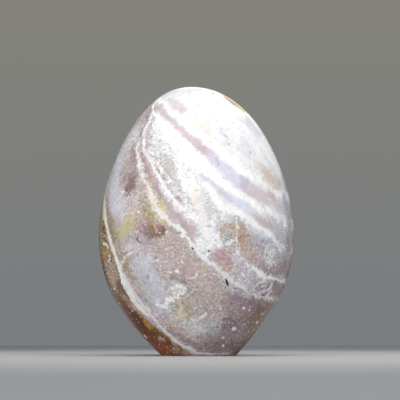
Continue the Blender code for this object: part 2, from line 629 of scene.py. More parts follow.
# %% Back: bands
FAR_BAND = [
    (285, 212, 5), (262, 208, 7), (238, 198, 7), (212, 180, 6), (188, 156, 5), (166, 130, 4.5),
    (152, 110, 3),
]
FAR_WHITE = [(288, 199, 4), (262, 192, 6), (238, 180, 6), (214, 162, 5), (190, 138, 5), (170, 116, 4)]
FAR_LOW_WHITE = [
    (288, 224, 5), (264, 224, 6), (238, 216, 7), (210, 199, 6), (184, 175, 5), (162, 150, 4),
    (148, 124, 2.5),
]
FAR_LOW_BAND = [
    (290, 236, 4), (266, 240, 5), (238, 234, 6), (208, 218, 5), (182, 196, 4), (160, 170, 3.5),
    (144, 142, 2.5),
]
FAR_LAST_WHITE = [(291, 252, 2.5), (268, 257, 3), (240, 251, 4), (212, 237, 4), (188, 214, 3)]
mark("far tan", "tan", hidden=[(278, 184, 5), (268, 180, 4)], soft=4, cover=0.7, ragged=4)
mark("far crystal tan", "tan", hidden=[(226, 244, 4), (234, 250, 5), (246, 252, 4)], soft=3, ragged=4)
mark("far mauve", "mauve+plum+mauve", hidden=[(270, 268, 5), (246, 268, 6), (222, 258, 6), (200, 240, 4)],
    soft=4)
mark("far straw", "straw", hidden=[(150, 196, 3), (160, 206, 4), (170, 220, 3)], soft=3, cover=0.7)
mark("far stain", "ochre", hidden=[(206, 292, 4), (212, 298, 5)], soft=3, ragged=3)
mark("far stain shade", "dark olive", hidden=[(216, 294, 2.5), (219, 301, 2.5)], soft=2.5, cover=0.9,
    ragged=3)
mark("far stain halo", "mauve", hidden=[(198, 300, 4), (206, 306, 4)], soft=4, cover=0.7)
tell("back: bands")

# %% [markdown]
# ### Orbs
#
# The orbs are little balls of fibres that grew outwards from a grain. Cut through, each is a set of
# rings. They could come from a cell texture, but few and separate ones are easier to place one by one,
# as rings laid one on another.

# %% Back: round orbs in the rind
FAR_ORBS = [
    (121, 240, 6.5), (133, 260, 8), (147, 281, 6.5), (160, 301, 8.5), (177, 322, 7), (143, 303, 5),
    (119, 267, 5), (163, 332, 6), (191, 340, 5), (131, 288, 4.5), (108, 238, 3.5), (150, 321, 4),
]
ORB_RINGS = ((1, "brown"), (0.86, "bone"), (0.68, "olive"), (0.54, "sand"), (0.36, "ochre"), (0.2, "bone"))
for x, y, radius in FAR_ORBS:
    for share, shade in ORB_RINGS:
        mark("orb", shade, hidden=[(x, y, radius * share)], soft=0.9, ragged=1)
tell("back: round orbs in the rind")

# %% [markdown]
# ### Veins, painted glints and crystals at the back
#
# The white veins are healed cracks that cross the whole block. Those of the front pass the outline and go
# on here, thinner towards their ends, with the same small painted glints and sugary crystals beside them.

# %% Back: veins and their glow
FAR_MAIN_VEIN = [
    (280, 298, 1.5), (262, 301, 2), (240, 297, 2.4), (216, 283, 2.6), (194, 262, 2.2), (174, 236, 2),
    (158, 208, 1.8), (148, 182, 1.4), (140, 160, 1.1), (136, 146, 0.8),
]
FAR_UPPER_VEIN = [
    (288, 282, 1.5), (272, 282, 1.8), (250, 276, 2.2), (228, 262, 2.4), (206, 240, 2.2), (186, 214, 1.8),
    (168, 184, 1.4), (155, 154, 1.1), (148, 126, 0.8),
]
FAR_RIM_VEIN = [
    (111, 170, 0.7), (110.5, 176, 0.9), (113, 188, 1.2), (119, 205, 1.5), (131, 228, 1.8), (148, 254, 2),
    (166, 281, 2.2), (184, 307, 2), (198, 330, 1.8), (208, 353, 1.5),
]
mark("far main glow", "pearl", hidden=widened(FAR_MAIN_VEIN, 2), soft=2.5, cover=0.6)
mark("far rim glow", "blush", hidden=widened(FAR_RIM_VEIN, 2.5), soft=2.5, cover=0.6)
vein("far rim fork", "bone", hidden=[(148, 254, 1.2), (158, 250, 1.2), (170, 252, 0.9), (178, 248, 0.5)])
vein("far low fork", "bone", hidden=[(184, 307, 1.2), (196, 308, 1), (208, 314, 0.6)])
vein("far cross vein", "white", hidden=[(216, 283, 1), (222, 296, 0.9), (224, 312, 0.8), (232, 330, 0.6)])
vein("far bottom vein", "blush white", hidden=[(208, 352, 0.9), (222, 354, 0.9), (238, 352, 0.6)],
    ragged=0.6)
tell("back: veins and their glow")

# %% Back: painted glints
# painted glints, as on the front: small white spots where the polish would catch the light
FAR_PAINTED_GLINTS = [
    (214, 246, 1.7), (236, 330, 1.5), (184, 286, 1.2), (246, 288, 1), (262, 276, 1.2), (200, 318, 1),
    (150, 170, 1), (255, 320, 1.1), (216, 272, 1), (180, 226, 0.9), (226, 342, 1.2), (130, 190, 1),
]
for painted_glint in FAR_PAINTED_GLINTS:
    mark("far bead", "white", hidden=[painted_glint], soft=0.8, ragged=0.6)
tell("back: painted glints")

# %% Back: calm and sugary places
texture("far milk is calm", speckle, 0.35, hidden=[(190, 110, 20), (225, 150, 30), (255, 195, 26),
    (275, 220, 14)], soft=8)
texture("far crown is calm", speckle, 0.3, hidden=[(165, 98, 16), (200, 92, 26), (236, 104, 18)], soft=8)
texture("far bands are calm", speckle, 0.4, hidden=FAR_LOW_WHITE, soft=8)
texture("far pocket", crystals, 1, hidden=[(228, 246, 5), (238, 250, 5)], soft=3)
texture("far snow", crystals, 0.6, hidden=[(196, 226, 6), (206, 236, 7), (216, 246, 5)])
texture("far frost", crystals, 0.7, hidden=[(272, 246, 6), (262, 254, 6)])
texture("far dark grains", crystals, 0.5, hidden=[(238, 312, 7)])
tell("back: calm and sugary places")

# %% [markdown]
# ### Grounds of the front
#
# Under the bands lie broad clouds of colour: milk white above, beige and taupe below, a brown rind at the
# left. They have no edges on the real stone. A few wide strokes with a long soft edge give them, from the
# top to the foot.

# %% Grounds: the milky top
mark("upper milk", "milk", [(176, 92, 12), (205, 110, 30), (235, 135, 34), (258, 168, 32),
    (268, 205, 24)], soft=8)
mark("top edge", "cool milk", [(156, 103, 3), (164, 96, 3), (174, 91, 3)], soft=4, cover=0.5, ragged=1)
mark("top shade", "haze", [(247, 114, 3), (253, 122, 4), (259, 132, 4)], soft=4, cover=0.7)
mark("right lilac", "lilac", [(250, 112, 2), (262, 130, 3), (270, 150, 3)], soft=4, cover=0.3, ragged=4)
mark("upper pearl", "white", [(246, 116, 5), (252, 132, 9), (257, 150, 10), (256, 166, 8), (248, 160, 8)],
    soft=7, cover=0.6)
mark("middle milk", "milk", [(158, 116, 9), (172, 146, 20), (196, 182, 24), (213, 212, 20),
    (210, 240, 14)], soft=5)
tell("grounds: the milky top")

# %% Grounds: left shoulder and flank
mark("left shoulder", "greige", [(146, 109, 4), (139, 121, 9), (129, 139, 11), (124, 152, 7)], soft=3)
mark("shoulder light", "haze", [(133, 135, 5), (126, 146, 4)], soft=5, cover=0.6)
mark("shoulder dusk", "brown mauve", [(148.3, 115, 1.2), (147, 120, 2), (144.5, 127, 1.4),
    (141, 134, 1.4)], patchy=0.3)
mark("left flank", "lavender", [(121, 146, 3), (117, 166, 5), (115, 190, 6), (113, 206, 6),
    (115, 216, 4)], soft=4)
mark("left flank light", "haze", [(119, 156, 2), (117, 172, 2.5), (115, 190, 2.5), (116, 205, 2)], soft=4,
    cover=0.5, ragged=3)
mark("flank olive", "greige+olive+olive", [(106, 194, 1), (106.3, 205, 1.8), (107.5, 215, 2.5),
    (110.5, 226, 2.5), (113, 238, 3)], soft=2.5, cover=0.9)
mark("left patch", "taupe+taupe+dusty+taupe", [(131, 154, 5), (129, 168, 8), (131, 184, 8),
    (133, 193, 5)], soft=4, ragged=3)
mark("left patch core", "brown mauve", [(132, 177, 3.5), (131, 185, 4.5), (127, 191, 4)], soft=3,
    cover=0.9, patchy=0.4)
mark("left patch brown", "ochre", [(127, 188, 2), (124, 196, 1.5)], soft=2.5, cover=0.5, patchy=0.4)
mark("left patch edge", "warm grey", [(133, 148, 3), (134, 156, 3.5), (133, 165, 3), (137, 174, 3)],
    soft=2.5)
mark("left patch foot", "blush", [(127, 201, 2.5), (134, 200, 3.5), (140, 199, 2.5)], soft=3, cover=0.8)
mark("flank haze", "haze", [(119, 196, 4), (121, 206, 5), (122, 215, 4)], soft=3.5, cover=0.65)
tell("grounds: left shoulder and flank")

# %% Grounds: the lower field
mark("taupe bloom", "lavender", [(160, 270, 6), (166, 262, 5)], soft=4, cover=0.5, ragged=3)
mark("lower beige", "greige", [(198, 290, 12), (203, 306, 13)], soft=9, cover=0.6, ragged=4)
mark("lower violet", "plum", [(232, 294, 5), (246, 301, 7), (260, 303, 6)], soft=5, cover=0.95, ragged=4)
mark("lower blue", "blue grey", [(229, 288, 1.5), (238, 293, 2), (246, 297, 1.5)], cover=0.7)
mark("right foot", "warm grey+brown mauve", [(228, 305, 6), (244, 318, 9), (256, 312, 7)], soft=7,
    cover=0.85, ragged=4)
mark("right foot olive", "dark olive+dark olive+brown", [(246, 334, 3), (257, 321, 5), (268, 307, 5),
    (277, 294, 3)], [(268, 312, 6), (255, 330, 8)], soft=5, cover=0.5)
# partly rust on the rim, partly a painted warm reflection along the edge
mark("right foot rust and reflection", "rust", [(252, 329, 1.5), (261, 317, 1.5), (269, 305, 1.5)], soft=3, cover=0.3,
    patchy=0.45)
tell("grounds: the lower field")

# %% Grounds: the foot
mark("foot wash", "plum", [(206, 340, 6), (224, 338, 8), (240, 332, 8)], soft=7, cover=0.5, ragged=3)
mark("dark smudge", "dark plum", [(224, 321, 4), (231, 328, 6)], soft=4, cover=0.8, ragged=4)
mark("smudge ridge", "dark plum", [(222, 321, 1), (229, 318.5, 1.2), (236, 321, 1)], soft=1, patchy=0.4)
mark("foot pool", "mist", [(203, 322, 4), (212, 322, 5), (216, 326, 3)], soft=5, cover=0.55, ragged=4)
mark("foot pool core", "blue grey", [(206, 329, 5), (213, 332, 5), (218, 326, 4)], soft=4, cover=0.75,
    ragged=3)
mark("pool shade", "plum", [(212, 337, 4), (222, 333, 4), (232, 333, 5)], soft=4, cover=0.6)
mark("foot haze", "mist", [(228, 345, 3), (236, 348, 2)], soft=4, cover=0.3, ragged=3)
mark("foot edge", "rose", [(214, 350, 2), (224, 349, 2.5), (234, 348, 2)], soft=3, cover=0.5)
mark("pale foot", "milk", [(184, 321, 6), (196, 329, 8)], soft=6, cover=0.7, ragged=3)
mark("foot mauve", "dusty", [(171, 331, 4), (184, 342, 4), (199, 348, 3)], soft=3, cover=0.8)
mark("foot rose", "brown mauve", [(208, 346, 4), (222, 345, 5), (236, 342, 5)], soft=4, cover=0.8,
    patchy=0.3)
mark("foot shade", "dusty+warm grey+brown mauve", [(166, 330, 2), (180, 340, 3), (200, 348, 4),
    (226, 349, 4), (240, 346, 4)], soft=4, cover=0.8)
mark("foot warm", "dusty", [(226, 334, 5), (238, 336, 6)], soft=4, cover=0.6)
tell("grounds: the foot")

# %% Grounds: the grey lobe and the shelf over it
mark("lobe", "lavender", [(141, 257, 6), (143, 269, 10), (149, 284, 12), (158, 300, 9), (165, 312, 6)],
    soft=4, ragged=5)
mark("lobe light", "haze", [(143, 258, 4), (148, 266, 5), (155, 284, 5), (163, 290, 4)], soft=4,
    cover=0.9, ragged=4)
mark("lobe flank", "greige", [(134, 286, 4), (140, 298, 4), (147, 307, 4)], soft=3, cover=0.8)
mark("lobe dusk", "blue grey", [(137, 255, 2), (138, 270, 3), (146, 280, 3), (140, 286, 2)], soft=3,
    cover=0.8, patchy=0.45)
mark("lobe side", "olive", [(127, 262, 2), (129, 272, 2.5), (132, 282, 2)], soft=2.5, cover=0.6)
mark("lobe foot", "rose", [(152, 312, 3), (163, 317, 4), (170, 313, 3)], soft=3, cover=0.7)
mark("olive flank", "olive", [(112, 222, 3), (114, 236, 4), (118, 250, 4), (124, 262, 3)], soft=3,
    cover=0.5)
mark("olive corner", "olive", [(124, 261, 3), (128, 270, 2)], soft=3, cover=0.6)
mark("pale shelf", "greige", [(127, 241, 5), (139, 244, 6), (150, 240, 5)], soft=4, cover=0.7)
mark("shelf veil", "haze", [(131, 246, 3), (139, 242, 2), (146, 240, 2)], soft=3, cover=0.35, ragged=3)
mark("shelf line", "pearl", [(130, 253.5, 0.8), (138, 250, 1), (146, 245, 1), (152, 240, 0.6)], soft=1.5,
    cover=0.7)
mark("flake dusk", "brown mauve", [(179, 281, 2), (185, 283, 2.2), (188, 289, 1.5)], cover=0.8)
tell("grounds: the grey lobe and the shelf over it")

# %% Grounds: the brown rim
mark("outer rim", "olive+olive+olive+dark olive+brown", [(101, 222, 3), (102, 238, 5), (107, 262, 7),
    (113, 280, 7), (122, 296, 6)], cover=0.9)
mark("outer rim light", "tan", [(110, 255, 2), (113, 266, 3), (116, 277, 3)], soft=3, cover=0.7, ragged=3)
mark("foot brown", "brown", [(156, 337, 2), (166, 344, 3), (177, 350, 3), (187, 353, 2)], soft=2.5,
    cover=0.85)
mark("amber pool", "gold", [(146, 323, 1.5), (150, 328, 2.5), (155, 333, 1.5)], cover=0.65, ragged=3)
mark("rim glow", "olive+ochre+olive+olive", [(124, 297, 1.5), (130, 304, 2), (135, 310, 2),
    (142, 318, 1.5)], soft=2.5, cover=0.8)
mark("rim mottle", "tan", [(112, 262, 2), (115, 272, 2), (113, 280, 2)], patchy=0.45)
mark("rim dusk", "brown", [(103, 226, 1.2), (105, 239, 1.2), (110, 251, 1.5), (112, 262, 1.2)], soft=1.5,
    patchy=0.45)
mark("outer shade", "brown+dark brown", [(105, 289, 3), (114, 303, 7), (126, 315, 8), (137, 330, 8)],
    soft=3, ragged=3)
mark("rim belly", "tan", [(107, 266, 2), (110, 275, 3), (113, 284, 2)], soft=2.5, cover=0.75)
mark("lower rim", "dark brown+dark brown+brown+brown", [(137, 318, 4), (147, 331, 7), (159, 343, 8),
    (174, 352, 6)], soft=3)
# painted reflection: red along the lower rim, a warm reflection laid over the brown rind
mark("low red reflection", "red", [(150, 344, 2), (160, 350, 3), (170, 353, 2.5)], soft=3, cover=0.5)
tell("grounds: the brown rim")

# %% [markdown]
# ### Bands of the front
#
# Three pink and grey layers run down to the right, with white ones between. A wave texture would make
# them all alike, so each is a stroke of its own width, whose shade changes along it.

# %% Bands: where each layer runs
BAND_ONE = [
    (159, 106, 2.5), (163, 112, 3.5), (170, 119, 3.5), (180, 130, 3.5), (190, 138, 4), (200, 147, 4.5),
    (209, 154, 4.5), (217, 161, 4.5), (226, 169, 5.5), (235, 179, 7), (248, 187, 6.5), (260, 195, 6),
    (272, 201, 5), (283, 208, 4),
]
BAND_ONE_SHADES = "pink+rose+greige+rose+pink+rose+mauve+lilac+lilac+lilac+blush+blush+haze+mist"
UPPER_WHITE = [
    (160, 99, 2), (170, 109, 2.5), (180, 120, 3), (195, 131, 3), (210, 143, 3.5), (225, 156, 4),
    (240, 168, 6), (255, 177, 5), (263, 181, 4.5), (270, 187, 3.5), (285, 198, 3),
]
MIDDLE_WHITE = [
    (154, 113, 1), (160, 122, 3), (170, 134, 5), (185, 149, 7), (200, 163, 7), (213, 175.5, 5),
    (225, 185.5, 4), (240, 194, 4.5), (250, 201.5, 4.5), (258, 207, 4.5), (270, 212.5, 3.5),
    (280, 219, 3), (290, 226, 3),
]
BAND_TWO = [
    (203, 175, 2.5), (212, 183.5, 3), (225, 195, 4), (240, 204.5, 4.5), (250, 212.5, 5), (257, 218.5, 5),
    (268, 227, 4.5), (277, 233, 4), (288, 240, 3),
]
LOWER_WHITE = [
    (206, 186, 3), (217, 200, 4), (230, 209, 4.5), (241, 215.5, 4.5), (250, 223, 4.5), (257, 228, 4.5),
    (270, 236, 3.5), (285, 247, 2.5),
]
BAND_THREE = [(214, 251, 4), (222, 258, 6), (232, 264, 7), (243, 273, 8), (254, 282, 7), (262, 289, 5)]
tell_length("first band", BAND_ONE, FAR_BAND)
tell_length("second band", BAND_TWO, FAR_LOW_BAND)

# %% Bands: their colours
mark("upper white", "snow white", UPPER_WHITE, FAR_WHITE, soft=3, cover=0.85)
mark("middle white", "snow white", MIDDLE_WHITE, FAR_LOW_WHITE, soft=3.5, cover=0.95, ragged=1.5)
mark("band one",
    BAND_ONE_SHADES + "+smoke+blush+blush+lilac+lilac+violet+violet+rose+rose+pink+rose+rose", BAND_ONE,
    FAR_BAND, soft=2.5, ragged=1.5)
mark("band one streak", "plum", [(216, 158, 0.8), (218.5, 162, 1), (218, 166, 0.7)], soft=1.2, cover=0.6,
    ragged=1)
mark("band one pearl", "milk", [(226, 171, 1.5), (232, 174, 1.5)], soft=3, cover=0.3, ragged=3)
mark("band one end", "tan", [(269, 191, 1.5), (274, 198, 2)], soft=2.5, cover=0.5)
mark("band two", "mist+haze+lilac+ice+rose+haze+mist+mist+smoke+mist+blush+ice+ice+lilac+mist+mauve+"
    "mauve", BAND_TWO, FAR_LOW_BAND, soft=2.5, ragged=1.5)
mark("band two light", "ice", [(236, 200, 3), (243, 206, 3), (250, 211, 2)], soft=3, cover=0.6)
mark("band two pink", "pink", [(254, 217, 2), (261, 222, 3), (266, 227, 2)], soft=3, cover=0.6)
mark("band two dusk", "mist", [(214, 186, 1.5), (224, 195, 2), (232, 201, 1.5)], cover=0.7)
mark("lower white", "snow white", LOWER_WHITE, FAR_LAST_WHITE, soft=3.5, ragged=1.5)
mark("band three", "deep mauve+mauve+rose+lavender+smoke", BAND_THREE, soft=3)
mark("band three upper", "blush", [(230, 255, 2.5), (240, 263, 3), (248, 270, 2.5)], soft=3, cover=0.6)
mark("band three pink", "deep mauve", [(219, 253, 1.5), (224, 257, 4), (230, 262, 3)], cover=0.9)
mark("band three tan", "tan", [(214, 259, 2), (222, 264, 3), (228, 269, 2)], cover=0.7)
mark("band three light", "blush", [(243, 283, 3), (250, 288, 3)], soft=3, cover=0.6, patchy=0.4)
tell("bands: their colours")

# %% [markdown]
# ### Right side
#
# At the right the bands meet a tan patch and a cool bluish veil, where the layers are seen nearly edge
# on. Small soft strokes turn the bands into it without a border.

# %% Right side: tan wash and blue veil
mark("tan wash", "sand+tan+sand", [(257, 164, 2), (263, 170, 3.5), (267, 178, 4), (271, 183, 3)], soft=4,
    cover=0.65)
mark("sand wash", "sand", [(270, 176, 3), (277, 184, 4)], soft=3, cover=0.7)
mark("mint", "cool milk", [(273.5, 188, 2.5)], soft=1.5)
mark("right veil", "haze+mist+mist", [(273, 218, 3), (278, 224, 5), (281, 234, 5), (283, 244, 3)], soft=4,
    cover=0.85, ragged=4)
mark("middle white tail", "snow white", [(256, 206, 3), (263, 209.5, 3), (270, 212.5, 3), (276, 216, 2)],
    cover=0.85)
mark("lower white tail", "snow white", [(250, 223.5, 3), (257, 228, 3.5), (265, 233, 3), (272, 237, 2)],
    cover=0.8)
mark("right streaks", "smoke", [(266, 208, 1), (273, 222, 1.5), (280, 238, 1.5)], soft=1.5, cover=0.8,
    ragged=4, patchy=0.4)
mark("right streak", "white", [(268, 203, 1), (275, 214, 1.2), (282, 230, 1)], soft=1.5, cover=0.8,
    ragged=4, patchy=0.45)
mark("right dusk veil", "smoke+blue grey+blue grey", [(284, 198, 2), (288, 212, 2.5), (290, 226, 2.5),
    (290, 246, 2.5)], soft=3, cover=0.85)
tell("right side: tan wash and blue veil")

# %% Right side: the tan patch and its crystals
mark("crystal blush", "blush", [(221, 239, 2.5), (224, 244, 2)], cover=0.7)
mark("right milk", "haze", [(248, 121, 4), (257, 132, 4)], soft=4, cover=0.45)
mark("right white", "snow white", [(266, 145, 4), (273, 159, 4), (278, 172, 2.5)], soft=4, cover=0.8)
mark("smoke field", "smoke", [(254, 238, 6), (264, 246, 9), (272, 258, 9), (282, 264, 7)], soft=3)
mark("pink margin", "blush", [(217, 225, 3), (218, 233, 3), (216, 243, 3)], cover=0.8)
mark("tan crystals", "tan", [(224, 230, 3.5), (222, 236, 3)], soft=2.5)
mark("tan crystal top", "tan", [(225, 227, 2), (233, 228, 3)], patchy=0.35)
mark("crystal bed", "moss grey", [(229, 234, 4), (231, 240, 5), (225, 246, 3.5)], cover=0.8)
mark("tan patch", "tan", [(241, 229, 4), (241, 237, 4), (242, 247, 4), (247, 255, 3)], soft=2.5, ragged=3)
mark("tan patch depth", "ochre", [(241.5, 232, 2), (242, 240, 3), (243, 246, 2.5)], soft=3, cover=0.3)
mark("tan patch dusk", "dusty", [(243, 228, 3), (241, 237, 2)], cover=0.7, patchy=0.4)
mark("tan tail", "taupe", [(252, 246, 5), (258, 254, 5)], soft=4, cover=0.8)
mark("smooth field", "haze+ice", [(250, 230, 3.5), (258, 233, 4), (267, 238, 3)], soft=3, cover=0.9)
mark("pale posts", "cream", [(236.5, 222, 1), (237.5, 230, 1.2), (236.5, 238, 1.2), (236, 248, 1)],
    soft=1, patchy=0.3)
tell("right side: the tan patch and its crystals")

# %% Right side: shades beside the patch and the frost below it
mark("streak mauve deep", "deep mauve", [(147, 168, 1.5), (152, 180, 2.5), (157, 190, 2)], cover=0.8)
mark("post shade", "tan", [(235, 238, 2), (236, 246, 2)], cover=0.8)
mark("wedge shade", "lavender", [(152, 112, 2), (149, 120, 2.5), (146, 127, 2)], cover=0.9)
mark("run dusk", "rose+mauve+rose", [(188, 224, 2), (192.5, 229, 3), (195, 235, 2.5)], soft=2.5,
    cover=0.95, ragged=1.5)
mark("run yellow", "straw", [(160, 205, 2), (164, 210, 2.5), (168, 213, 2)], soft=2.5, cover=0.7)
mark("run pearl", "haze", [(187, 244, 1.5), (191, 248, 1.5)], cover=0.8)
mark("grey lintel", "moss grey", [(236, 219, 2.5), (243, 222, 3), (249, 225, 2)], cover=0.7, patchy=0.35)
mark("right dusk", "plum", [(262, 263, 4), (272, 271, 6), (282, 268, 6)], soft=4, cover=0.8, ragged=3)
mark("frost", "pearl", [(272, 241, 2), (270, 251, 3.5), (268, 260, 3.5), (274, 266, 2)], cover=0.9,
    patchy=0.4)
mark("frost blue", "ice", [(277, 243, 2), (280, 250, 2)], cover=0.8)
mark("right foot plum", "plum", [(258, 286, 4), (268, 289, 5), (277, 284, 4)], soft=3, cover=0.8)
mark("right edge", "dusty", [(287, 238, 2), (288, 246, 3)], cover=0.7)
tell("right side: shades beside the patch and the frost below it")

# %% [markdown]
# ### Left half
#
# Left of the great vein the stone was broken and healed, so it is a mixture of short streaks, grey
# crystals and a white tongue. Many small strokes, laid from the broad to the fine, keep it from looking
# like a pattern.

# %% Left half: streaks between the two veins
mark("upper pink", "rose", [(170, 100, 3), (176, 104, 5), (182, 110, 5)], soft=3, cover=0.9)
mark("wedge", "rose", [(148, 124, 2), (147, 131, 3.5), (147, 140, 2.5)], soft=1.5, cover=0.8)
mark("streak grey", "dusty", [(139, 150, 1.5), (141, 157, 2.5)], soft=1.5, cover=0.8)
mark("streak mauve", "mauve", [(142, 160, 2), (145, 167, 3)])
mark("streak olive", "olive", [(145, 171, 2), (148, 178, 2.5), (152, 186, 2)], soft=1.5, cover=0.6)
mark("streak violet", "rose+mauve+rose", [(150, 171, 2), (155, 181, 3), (161, 193, 3.5), (168, 204, 4),
    (175, 213, 4)], soft=2.5)
mark("streak taupe", "warm grey", [(157, 188, 1.5), (161, 196, 2)], cover=0.8)
mark("streak yellow", "straw+straw+lime", [(147, 181, 1), (152, 193, 3), (157, 203, 4), (163, 212, 3)],
    soft=3, cover=0.85)
mark("yellow bloom", "straw", [(159, 216, 3), (163, 222, 3)], soft=2.5, cover=0.8)
mark("mauve run", "rose+rose+rose+pink+rose", [(170, 211, 3), (177, 217, 4.5), (185, 224, 5),
    (193, 232, 4), (199, 239, 2)])
mark("mauve run core", "mauve", [(172, 210, 1.5), (180, 218, 2), (188, 227, 2)], soft=2.5, cover=0.6)
mark("white veil", "pearl", [(160, 186, 1.5), (168, 197, 2.5), (176, 207, 3), (184, 213, 3),
    (192, 221, 2.5)], soft=2.5)
mark("mauve run light", "blush", [(182, 215, 2), (190, 222, 3), (198, 229, 3)], cover=0.7, patchy=0.4)
tell("left half: streaks between the two veins")

# %% Left half: the grey patch and its pockets
mark("grey patch", "greige", [(161, 156, 2), (170, 159, 4), (174, 169, 5), (177, 180, 4), (181, 193, 3)],
    soft=3, cover=0.75, ragged=4)
mark("patch pearl", "white", [(178, 158, 2.5), (180, 170, 3.5), (183.5, 182, 3.5), (188, 194, 3)],
    cover=0.95)
mark("patch dusk", "greige", [(161, 156, 3), (165, 164, 4), (169, 172, 4), (172, 180, 3)], soft=3,
    cover=0.7)
mark("snow ridge", "white", [(206, 246, 3), (214, 243, 4), (222, 247, 2)], soft=2.5)
mark("brown blush", "dusty", [(157, 168, 2), (161, 174, 2.5), (164, 180, 2)], patchy=0.4)
mark("pink spot", "pink", [(177, 199, 2), (178, 203, 2)], soft=1.5)
mark("grey pocket", "moss grey", [(185, 200, 3), (189, 206, 2.5)], cover=0.6, patchy=0.4)
mark("tongue edge", "moss grey", [(202, 176, 1), (204, 188, 1.5), (207, 200, 1.5), (210, 212, 1.5)],
    soft=1.5, cover=0.5, patchy=0.35)
mark("shelf grey", "lavender", [(126, 247, 3), (136, 244, 3.5), (147, 240, 3)], soft=3, cover=0.75)
mark("blush shelf", "blush", [(122, 250, 2), (129, 248, 2.8), (136, 246, 2)])
mark("tongue side", "grey", [(187, 190, 1), (190, 202, 1), (195, 214, 1)], soft=1.5, cover=0.8, patchy=0.3)
tell("left half: the grey patch and its pockets")

# %% Left half: snow and the cream tongue
mark("snow", "white", [(186, 204, 3), (196, 216, 3), (204.5, 230, 6), (206, 243, 9), (206, 254, 4)],
    ragged=3)
mark("snow top", "snow white", [(198, 222, 2), (206, 223, 2.5), (214, 223, 2.5)], cover=0.75, ragged=3)
mark("snow side", "white", [(215, 232, 2.5), (218, 239, 3)], cover=0.7, ragged=3)
mark("cream tongue", "tongue", [(191, 181, 3), (194.5, 192, 5), (198, 205, 5.5), (203, 218, 3)], soft=1.5,
    ragged=1)
mark("snow grey", "moss grey", [(208, 226, 1.5), (202, 233, 2), (197, 240, 2.5), (205, 240, 1.5)],
    cover=0.55, patchy=0.45)
mark("pink bruise", "deep mauve", [(177, 199, 2), (180, 203, 2)], cover=0.8, ragged=1.5)
mark("snow bruise", "lavender", [(192, 211, 1.5), (196, 215.5, 1.5)], cover=0.75, ragged=1.5)
mark("ridge of snow", "white", [(203, 254, 3), (209, 250, 4), (213, 243, 4), (218, 246, 1.5)], soft=2.5)
mark("snow middle", "white", [(208, 222, 3), (211, 230, 3.5), (212, 238, 3)], soft=3, cover=0.8)
mark("snow foot", "blush", [(204, 252, 1.5), (211, 252, 1.5), (216, 252, 2)], soft=1.5, cover=0.7)
mark("snow left", "haze", [(197, 234, 2), (200, 236, 2)], soft=1.5, cover=0.6)
tell("left half: snow and the cream tongue")

# %% Left half: faint threads in the milk, and painted light on the crown and the upper edge
mark("yellow thread", "straw", [(209.5, 104, 0.8), (209.5, 116, 0.8), (208.5, 128, 1)], cover=0.5,
    ragged=1)
mark("yellow wash", "straw", [(198, 121, 2), (204, 127, 3), (209, 132, 3)], soft=4, cover=0.45)
mark("milk blue", "ice", [(184, 97, 3), (191, 101, 4)], soft=3, cover=0.8)
mark("green milk", "milk", [(156, 148, 3), (160, 141, 4), (165, 148, 4)], soft=4, cover=0.7, ragged=3)
mark("streak shine", "white", [(148, 149, 1.5), (152, 155, 2)], cover=0.9, ragged=1.5)
mark("milk spots", "grey", [(222, 129, 1.5), (226, 136, 1.5), (229, 143, 1.5)], soft=1.5, cover=0.7,
    patchy=0.4)
mark("milk veil", "cool milk", [(240, 142, 6), (250, 152, 5)], soft=5, cover=0.4, ragged=3)
mark("shoulder grey", "warm grey", [(154, 104, 1.5), (150, 110, 2), (146.5, 117, 2.5), (144, 123, 2)],
    soft=2.5, cover=0.8)
# painted light: the upper right edge, front and back, is whitened where the light falls on it
mark("painted light on the upper edge", "snow white", [(257, 124.5, 3), (265, 138, 3), (273, 153, 3), (279, 168, 2.5)],
    [(262, 125, 5), (272, 140, 5), (280, 158, 5), (285, 172, 4)], soft=3, cover=0.55)
# painted light: the crown is whitened where the light from above falls on it, over its milky white
mark("painted light on the crown", "snow white", [(197, 93, 3), (210, 95, 4), (222, 101, 4), (232, 107, 4),
    (241, 114, 3)], soft=3, cover=0.9)
tell("left half: faint threads in the milk, and painted light on the crown")

# %% [markdown]
# ### Stains
#
# Iron and chlorite seeped in along the cracks and left yellow, green and rust stains. They are patchy
# washes over what was there, so the brush lays them after the grounds, thinly, where a cloud noise lets
# them through.

# %% Stains: green and orange
mark("olive halo", "olive+yellow green", [(141, 198, 3), (144, 209, 4), (148, 214, 4), (152, 218, 3)],
    soft=4, cover=0.6)
mark("green rise", "yellow green", [(146, 204, 2), (150, 211, 3), (154, 216, 2)], soft=3, cover=0.6)
mark("green stain", "pale lime", [(133, 216, 4), (129, 223, 5.5), (124, 230, 5), (119, 236, 3)], soft=4,
    cover=0.85)
mark("green heart", "lime", [(133, 218, 2), (129, 225, 3.5), (123, 232, 2.5)], soft=4, cover=0.5)
mark("stain cream", "straw", [(129, 211, 2), (125, 222, 2)], soft=3, cover=0.5, ragged=3)
mark("green edge", "olive", [(137, 219, 1), (136, 225, 1)], soft=1.5)
mark("violet halo", "mauve+brown mauve", [(140, 228, 3), (146, 228, 5), (148, 235, 3)], soft=3)
mark("orange spot", "ochre", [(151, 226, 3), (155, 230, 4), (153, 234, 2)])
mark("orange shade", "brown", [(159, 224, 1.5), (162, 229, 2.5), (159, 235, 2)], soft=2.5, cover=0.7)
mark("orange dusk", "brown mauve", [(158, 232, 3), (152, 236, 2)], soft=3, cover=0.6)
mark("shelf dusk", "dusty", [(150, 243, 3), (141, 241, 3)], soft=3, cover=0.7)
mark("old rose patch", "pink", [(184, 264, 2), (189, 268, 5), (191, 274, 5), (187, 277, 3)], soft=2.5,
    cover=0.9)
mark("old rose heart", "brown mauve", [(184, 269, 2), (185, 274, 2)], soft=3, cover=0.5)
mark("orange foot", "brown mauve+dark olive", [(150, 236, 2), (158, 235, 2), (164, 230, 1.5)], cover=0.8)
mark("halo dusk", "ochre", [(145, 217, 2.5), (152, 219, 3)], soft=3, cover=0.5)
mark("orange grain", "sand", [(153, 226, 0.8), (157, 230, 0.8), (154, 232, 0.8)], soft=1, patchy=0.4)
tell("stains: green and orange")

